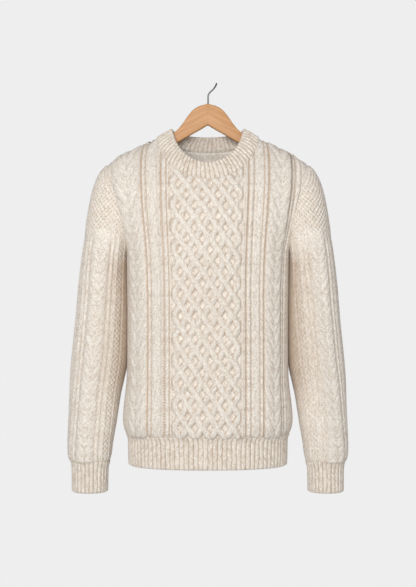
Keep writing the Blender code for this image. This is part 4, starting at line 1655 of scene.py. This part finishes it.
    def _shade(self, share: Array, v: Array) -> Array:
        """How much painted shade the sleeve's inner side gets where it lies in the body's shade,
        from 0 to 1.
        """
        inward = (0.5 - 0.5 * np.cos(2.0 * math.pi * share)) ** 3.5
        return self.shade * plateau(v, self.shade_heights) * inward

    def _drape(self, share: Array, v: Array) -> Array:
        """The slight unevenness with which the sleeve hangs.

        Args:
            share: share round the sleeve of each point.
            v: place above the cuff seam.

        Returns:
            How far the cloth moves out.
        """
        turn = 2.0 * math.pi * share
        sway = np.sin(v / 58.0 + 1.3) * np.cos(turn + 0.7)
        return sway + 0.7 * np.sin(v / 31.0 + 2.0 * np.cos(turn))


@dataclass
class RibBand:
    """A ribbed band round a row of rings, such as a hem band or cuff."""

    name: str
    node: str
    rings: list[Array]
    wool: WoolFinish
    ribs: int
    rows: int
    wall: float = Measures.WALL
    depth: float = 3.4
    per_rib: int = 10
    coarser: int = 4
    ribs_inside: bool = False
    sunk: float = 0.35
    inner_share: float = 0.8
    waver: float = 0.06
    # How far round, and how deep, the hollows between ribs count for their painted shade.
    reach: int = 4
    full_depth: float = 2.6
    rests_on: tuple[str, ...] = ("front", "back")

    def build(self) -> bpy.types.Object:
        """Makes the band.

        Returns:
            The band's object.
        """
        shares = np.linspace(0.0, 1.0, 721)
        table = np.array([evenly(np.concatenate([r, r[:1]]), shares)[0] for r in self.rings])
        grid = PointGrid(np.linspace(0.0, 1.0, len(self.rings)), shares, table)
        sheet = KnitSheet(self.name, self.ribs * self.per_rib, self.rows, self.coarser, self.wall,
                          closed=True, reach=self.reach, full_depth=self.full_depth)
        across, up = sheet.grid()
        points = grid.at(up, across)
        tall = float(np.linalg.norm(table[-1] - table[0], axis=1).mean())
        sway = self.waver * np.sin(2 * math.pi * (up * 1.3 + across * 23.0))
        sway = sway * np.sin(2 * math.pi * across * 7.0)
        turn = across * self.ribs + sway
        off = turn - np.round(turn)
        rib = np.sqrt(np.clip(1.0 - np.abs(2.0 * off) ** 1.8, 0.0, 1.0))
        knit = Knit((turn + 0.5) * Measures.STITCH_WIDTH, up * tall, purl=0.0)
        knit.relief = self.depth * (rib - self.sunk)
        beside = 1.0 - np.abs(2.0 * off)
        inner = self.depth * self.inner_share * np.sqrt(np.clip(1.0 - beside**2.4, 0.0, 1.0))
        piece = sheet.build(points, knit, inner_relief=inner if self.ribs_inside else None)
        return dress(piece, self.node, self.wool.material())


class Bands:
    """The rings of the hem band, the cuffs and the collar."""

    @staticmethod
    def hem() -> list[Array]:
        """Rings of the hem band, from its bottom edge up.

        Returns:
            The rings, each without a last point on its first.
        """
        front, back = BodyForm(Face.FRONT), BodyForm(Face.BACK)
        mirrored = np.array([-1.0, 1.0, 1.0])
        rings = []
        for z in np.linspace(Measures.HEM_Z, Measures.HEM_SEAM_Z + Measures.SEAM_TUCK, 13):
            ahead = front.ring_half(z) * [1.0, -1.0, 1.0]
            behind = back.ring_half(z)
            rings.append(np.concatenate(
                [ahead[::-1] * mirrored, ahead[1:], behind[::-1][1:], (behind * mirrored)[1:-1]]
            ))
        return rings

    @staticmethod
    def cuff(side: Side) -> list[Array]:
        """Rings of a cuff, from its bottom edge up.

        Args:
            side: the side of the garment that it is on.

        Returns:
            The rings.
        """
        shares = SleeveForm.SHARES[:-1]
        rings = []
        for z in np.linspace(Measures.CUFF_Z, Measures.CUFF_SEAM_Z + Measures.SEAM_TUCK, 13):
            ring = SleeveForm.level_ring(z, shares) * [float(side.value), 1.0, 1.0]
            rings.append(ring[::-1] if side is Side.LEFT else ring)
        return rings

    @staticmethod
    def collar() -> list[Array]:
        """Rings of the collar, from the neck seam to its top edge.

        Returns:
            The rings.
        """
        halves = {True: BodyForm(Face.FRONT), False: BodyForm(Face.BACK)}
        turns = np.linspace(0.0, 2.0 * math.pi, 481)[:-1]
        xs, zs = Measures.NECK_SEAM.at(turns)
        low = []
        for x, z, ahead in zip(xs, zs, np.sin(turns) >= 0.0):
            half = halves[bool(ahead)]
            share = half.share_at(x, min(z, half.LEVELS[-1]))
            y = half.grid.at(np.array([z]), np.array([share]))[0, 1]
            low.append((x, half.facing * y, z))
        low = np.array(low)
        x, z = Measures.COLLAR_TOP.at(turns)
        reach = np.where(np.sin(turns) >= 0.0, Measures.COLLAR_TOP_FRONT, Measures.COLLAR_TOP_BACK)
        high = np.column_stack([x, -reach * np.sin(turns), z])
        rise = (high - low) / np.linalg.norm(high - low, axis=1)[:, None]
        low = low - rise * Measures.SEAM_TUCK
        around = np.roll(low, -1, axis=0) - np.roll(low, 1, axis=0)
        out = np.cross(around, rise)
        out = out / np.linalg.norm(out, axis=1)[:, None]
        middle = (low + high) / 2 + 2.0 * Measures.COLLAR_BULGE * out
        return [low * (1 - t) ** 2 + middle * 2 * t * (1 - t) + high * t**2
                for t in np.linspace(0.0, 1.0, 13)]


# The hanger


@dataclass(frozen=True)
class Station:
    """The hanger's top and bottom edge at one place along an arm."""

    x: float
    top: float
    bottom: float


@dataclass
class HangerWood:
    """The flat wooden hanger, shaped from a block by extruding its arms."""

    finish: BeechFinish
    thickness: float = 12.0
    round_edge: float = 4.0
    crown: float = -41.0
    notch: float = -85.8
    stations: tuple[Station, ...] = (
        Station(6.0, -41.3, -87.3),
        Station(16.0, -43.8, -93.2),
        Station(25.0, -48.4, -98.2),
        Station(33.0, -54.8, -102.7),
        Station(41.8, -66.0, -107.8),
        Station(50.5, -78.8, -112.9),
        Station(60.0, -91.0, -118.5),
        Station(74.4, -104.0, -126.6),
        Station(104.5, -119.6, -142.4),
        Station(138.0, -137.4, -158.8),
        Station(164.0, -150.6, -171.4),
        Station(185.0, -162.0, -180.4),
        Station(195.0, -168.5, -182.4),
        Station(198.5, -173.0, -180.6),
    )

    def build(self) -> bpy.types.Object:
        """Adds a block for the middle and extrudes each arm out of its end faces.

        Returns:
            The hanger's object.
        """
        bpy.ops.object.select_all(action="DESELECT")
        first = self.stations[0]
        middle = Vector((0.0, 0.0, (first.top + first.bottom) / 2)) - Vector(RAIL)
        bpy.ops.mesh.primitive_cube_add(size=1.0, location=middle * MM)
        wood = bpy.context.object
        wood.name = "beech_hanger"
        wood.scale = (2 * first.x * MM, self.thickness * MM, (first.top - first.bottom) * MM)
        bpy.ops.object.transform_apply(location=True, rotation=False, scale=True)
        for way in (1.0, -1.0):
            self._extrude_arm(wood, way)
        self._raise_middle(wood)
        rounded = wood.modifiers.new("rounded edges", "BEVEL")
        rounded.width = self.round_edge * MM
        rounded.segments = 4
        rounded.limit_method = "ANGLE"
        rounded.angle_limit = math.radians(50.0)
        bpy.ops.object.modifier_apply(modifier=rounded.name)
        bpy.ops.object.shade_smooth_by_angle(angle=math.radians(40.0))
        return dress(wood, "hanger_wood", self.finish.material())

    def _extrude_arm(self, wood: bpy.types.Object, way: float) -> None:
        """Extrudes one end face from station to station.

        Args:
            wood: the block.
            way: 1 for the arm to the right and -1 for the one to the left.
        """
        bpy.ops.object.mode_set(mode="EDIT")
        bpy.ops.mesh.select_mode(type="FACE")
        bpy.ops.mesh.select_all(action="DESELECT")
        bpy.ops.object.mode_set(mode="OBJECT")
        for face in wood.data.polygons:
            face.select = face.normal.x * way > 0.9
        bpy.ops.object.mode_set(mode="EDIT")
        for here, after in zip(self.stations, self.stations[1:]):
            drop = ((after.top + after.bottom) - (here.top + here.bottom)) / 2
            move = ((after.x - here.x) * way * MM, 0.0, drop * MM)
            bpy.ops.mesh.extrude_region_move(TRANSFORM_OT_translate={"value": move})
            ratio = (after.top - after.bottom) / (here.top - here.bottom)
            centre = Vector((way * after.x, 0.0, (after.top + after.bottom) / 2)) - Vector(RAIL)
            bpy.ops.transform.resize(value=(1.0, 1.0, ratio), center_override=centre * MM)
        bpy.ops.object.mode_set(mode="OBJECT")

    def _raise_middle(self, wood: bpy.types.Object) -> None:
        """Cuts the block's middle and lifts it to the crown and to the notch below.

        Args:
            wood: the block with its arms.
        """
        bpy.ops.object.mode_set(mode="EDIT")
        bpy.ops.mesh.select_all(action="SELECT")
        bpy.ops.mesh.bisect(plane_co=(-RAIL[0] * MM, 0.0, 0.0), plane_no=(1.0, 0.0, 0.0))
        bpy.ops.mesh.select_all(action="DESELECT")
        bpy.ops.object.mode_set(mode="OBJECT")
        first = self.stations[0]
        for vertex in wood.data.vertices:
            if abs(vertex.co.x + RAIL[0] * MM) < 1e-5:
                upper = vertex.co.z > (first.top + first.bottom) / 2 * MM
                vertex.co.z = (self.crown if upper else self.notch) * MM


@dataclass
class HangerHook:
    """The wire hook: up from the wood with a sideways bend, and back over the rail."""

    finish: WireFinish
    radius: float = 1.6
    bend: float = 15.0
    stem: tuple[tuple[float, float, int], ...] = ((-55.0, -26.0, 4), (-24.0, -11.5, 16))
    drop: tuple[float, float, int] = (-12.0, -24.0, 12)
    eye_away: float = 2600.0
    eye_z: float = -429.5
    rise: tuple[tuple[float, float], ...] = (
        (0.6, -55.0),
        (0.6, -25.0),
        (1.3, -21.3),
        (3.8, -17.0),
        (8.0, -12.9),
        (11.8, -9.2),
        (15.1, -4.5),
        (17.2, -0.5),
        (17.8, 3.0),
    )

    def build(self) -> bpy.types.Object:
        """Draws the wire's middle line and gives it its thickness.

        Returns:
            The hook's object.
        """
        curve = bpy.data.curves.new("steel_hook", "CURVE")
        curve.dimensions = "3D"
        curve.bevel_depth = self.radius * MM
        curve.bevel_resolution = 4
        curve.use_fill_caps = True
        path = self._path()
        spline = curve.splines.new("POLY")
        spline.points.add(len(path) - 1)
        for point, place in zip(spline.points, path):
            point.co = (*((np.array(place) - RAIL) * MM), 1.0)
        hook = bpy.data.objects.new("steel_hook", curve)
        bpy.context.scene.collection.objects.link(hook)
        bpy.ops.object.select_all(action="DESELECT")
        hook.select_set(True)
        bpy.context.view_layer.objects.active = hook
        bpy.ops.object.convert(target="MESH")
        bpy.ops.object.shade_smooth_by_angle(angle=math.radians(50.0))
        return dress(hook, "hanger_hook", self.finish.material())

    def _behind(self, y: float, z: float) -> tuple[float, float, float]:
        """The place at this depth and height where the wire hides behind its rise.

        Args:
            y: the place's depth behind the rise.
            z: its height.

        Returns:
            The place.
        """
        away = 1.0 + y / self.eye_away
        seen = np.array((z - self.eye_z) / away + self.eye_z)
        knots, across = [z for _, z in self.rise], [x for x, _ in self.rise]
        return float(curve_through(knots, across, seen)) * away, y, z

    def _path(self) -> list[tuple[float, float, float]]:
        """Points along the wire's middle.

        Returns:
            The points, from the wood up and over the rail.
        """
        top = RAIL[2] + self.radius
        stem = np.concatenate([np.linspace(*part) for part in self.stem])
        path = [self._behind(0.0, float(z)) for z in stem]
        for turn in np.linspace(0.0, math.pi, 37):
            z = top - self.bend + self.bend * math.sin(turn)
            path.append(self._behind(self.bend * (1.0 - math.cos(turn)), z))
        return path + [self._behind(2.0 * self.bend, float(z)) for z in np.linspace(*self.drop)]


# The studio


@dataclass(frozen=True)
class SoftBox:
    """One soft lamp: where it hangs, how wide and how strong it is."""

    name: str
    place: tuple[float, float, float]
    size: float
    power: float
    tint: Colour = (1.0, 1.0, 1.0)


@dataclass
class Studio:
    """A pale floor, soft lamps, an even backdrop light and the camera."""

    image: tuple[int, int] = (416, 587)
    mm_per_pixel: float = 2.05
    middle_px: tuple[float, float] = (207.8, 84.5)
    distance: float = 2600.0
    floor_z: float = -1.95
    floor_radius: float = 3.2
    backdrop: float = 0.855
    ambient: float = 0.34
    ambient_tint: Colour = (0.98, 0.99, 1.0)
    aim: tuple[float, float, float] = (-0.018, -0.015, -0.43)
    lamps: tuple[SoftBox, ...] = (
        SoftBox("front", (-0.45, -3.0, 0.15), 1.4, 60.0),
        SoftBox("key", (-1.2, -2.2, 1.1), 0.4, 10.0),
        SoftBox("side", (2.2, -1.7, 0.1), 1.2, 6.5),
    )

    def build(self) -> None:
        """Sets the floor, the lamps, the backdrop and the camera."""
        self._floor()
        self._backdrop()
        for lamp in self.lamps:
            self._lamp(lamp)
        self._camera()

    def _floor(self) -> None:
        """A round pale floor under the garment."""
        bpy.ops.object.select_all(action="DESELECT")
        bpy.ops.mesh.primitive_circle_add(
            vertices=96, radius=self.floor_radius, fill_type="NGON",
            location=(0.0, 0.0, self.floor_z),
        )
        floor = bpy.context.object
        floor.name = "studio_floor"
        bpy.ops.object.transform_apply(location=True, rotation=True, scale=True)
        floor.data.materials.append(FloorFinish().material())

    def _backdrop(self) -> None:
        """An even pale backdrop that lights the garment softly from all round."""
        world = bpy.data.worlds.new("studio")
        bpy.context.scene.world = world
        world.use_nodes = True
        nodes, links = world.node_tree.nodes, world.node_tree.links
        nodes.clear()
        seen, shed = nodes.new("ShaderNodeBackground"), nodes.new("ShaderNodeBackground")
        seen.inputs["Color"].default_value = (self.backdrop,) * 3 + (1.0,)
        shed.inputs["Color"].default_value = (*self.ambient_tint, 1.0)
        shed.inputs["Strength"].default_value = self.ambient
        path, mix = nodes.new("ShaderNodeLightPath"), nodes.new("ShaderNodeMixShader")
        output = nodes.new("ShaderNodeOutputWorld")
        links.new(path.outputs["Is Camera Ray"], mix.inputs[0])
        links.new(shed.outputs[0], mix.inputs[1])
        links.new(seen.outputs[0], mix.inputs[2])
        links.new(mix.outputs[0], output.inputs["Surface"])

    def _lamp(self, lamp: SoftBox) -> None:
        """Hangs a lamp and points it at the garment.

        Args:
            lamp: the lamp.
        """
        light = bpy.data.lights.new(lamp.name, "AREA")
        light.shape = "DISK"
        light.size = lamp.size
        light.energy = lamp.power
        light.color = lamp.tint
        hung = bpy.data.objects.new(lamp.name, light)
        hung.location = lamp.place
        hung.rotation_euler = (Vector(self.aim) - hung.location).to_track_quat("-Z", "Y").to_euler()
        bpy.context.scene.collection.objects.link(hung)

    def _camera(self) -> None:
        """A level camera in front of the garment's middle."""
        width, height = self.image
        lens = bpy.data.cameras.new("camera")
        lens.sensor_fit = "VERTICAL"
        lens.angle_y = 2.0 * math.atan(height * self.mm_per_pixel / 2.0 / self.distance)
        camera = bpy.data.objects.new("camera", lens)
        across = (width / 2.0 - self.middle_px[0]) * self.mm_per_pixel
        up = (self.middle_px[1] - height / 2.0) * self.mm_per_pixel
        place = np.array([across, -self.distance, up]) - RAIL
        camera.location = Vector(place) * MM
        camera.rotation_euler = (math.radians(90.0), 0.0, 0.0)
        bpy.context.scene.collection.objects.link(camera)
        bpy.context.scene.camera = camera
        bpy.context.scene.view_settings.view_transform = "Standard"


def main() -> None:
    """Builds the sweater, its hanger and the studio."""
    logging.basicConfig(level=logging.INFO, format="%(message)s")
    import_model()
    # The rib bands wear a darker copy of the same yarn, as painted shade for their deep ribbing,
    # and stronger painted shade in their hollows and between their stitches.
    wool, rib_wool_painted_darker = WoolFinish(), WoolFinish(
        "rib wool", light=(0.90, 0.845, 0.775), dark=(0.69, 0.61, 0.51), painted_gap_shade=0.24, shading=1.0
    )
    pieces = [
        BodyPanel(Face.FRONT, wool),
        BodyPanel(Face.BACK, wool),
        Sleeve(Side.LEFT, wool, turn_cuff=0.215),
        Sleeve(Side.RIGHT, wool, turn_cuff=0.170),
        RibBand("rib_hem", "hem_band", Bands.hem(), rib_wool_painted_darker, ribs=88, rows=32),
        RibBand("rib_cuff_left", "cuff_left", Bands.cuff(Side.LEFT), rib_wool_painted_darker, ribs=26, rows=32,
                rests_on=("sleeve_left",)),
        RibBand("rib_cuff_right", "cuff_right", Bands.cuff(Side.RIGHT), rib_wool_painted_darker, ribs=26, rows=32,
                rests_on=("sleeve_right",)),
        RibBand("rib_collar", "collar", Bands.collar(), rib_wool_painted_darker, ribs=62, rows=24,
                wall=Measures.COLLAR_WALL, coarser=2, ribs_inside=True,
                rests_on=("hanger_wood",)),
        HangerWood(BeechFinish()),
        HangerHook(WireFinish()),
    ]
    for piece in pieces:
        made = piece.build()
        LOG.info("%s: %d faces", made.name, len(made.data.polygons))
    Studio().build()


if __name__ == "__main__":
    main()
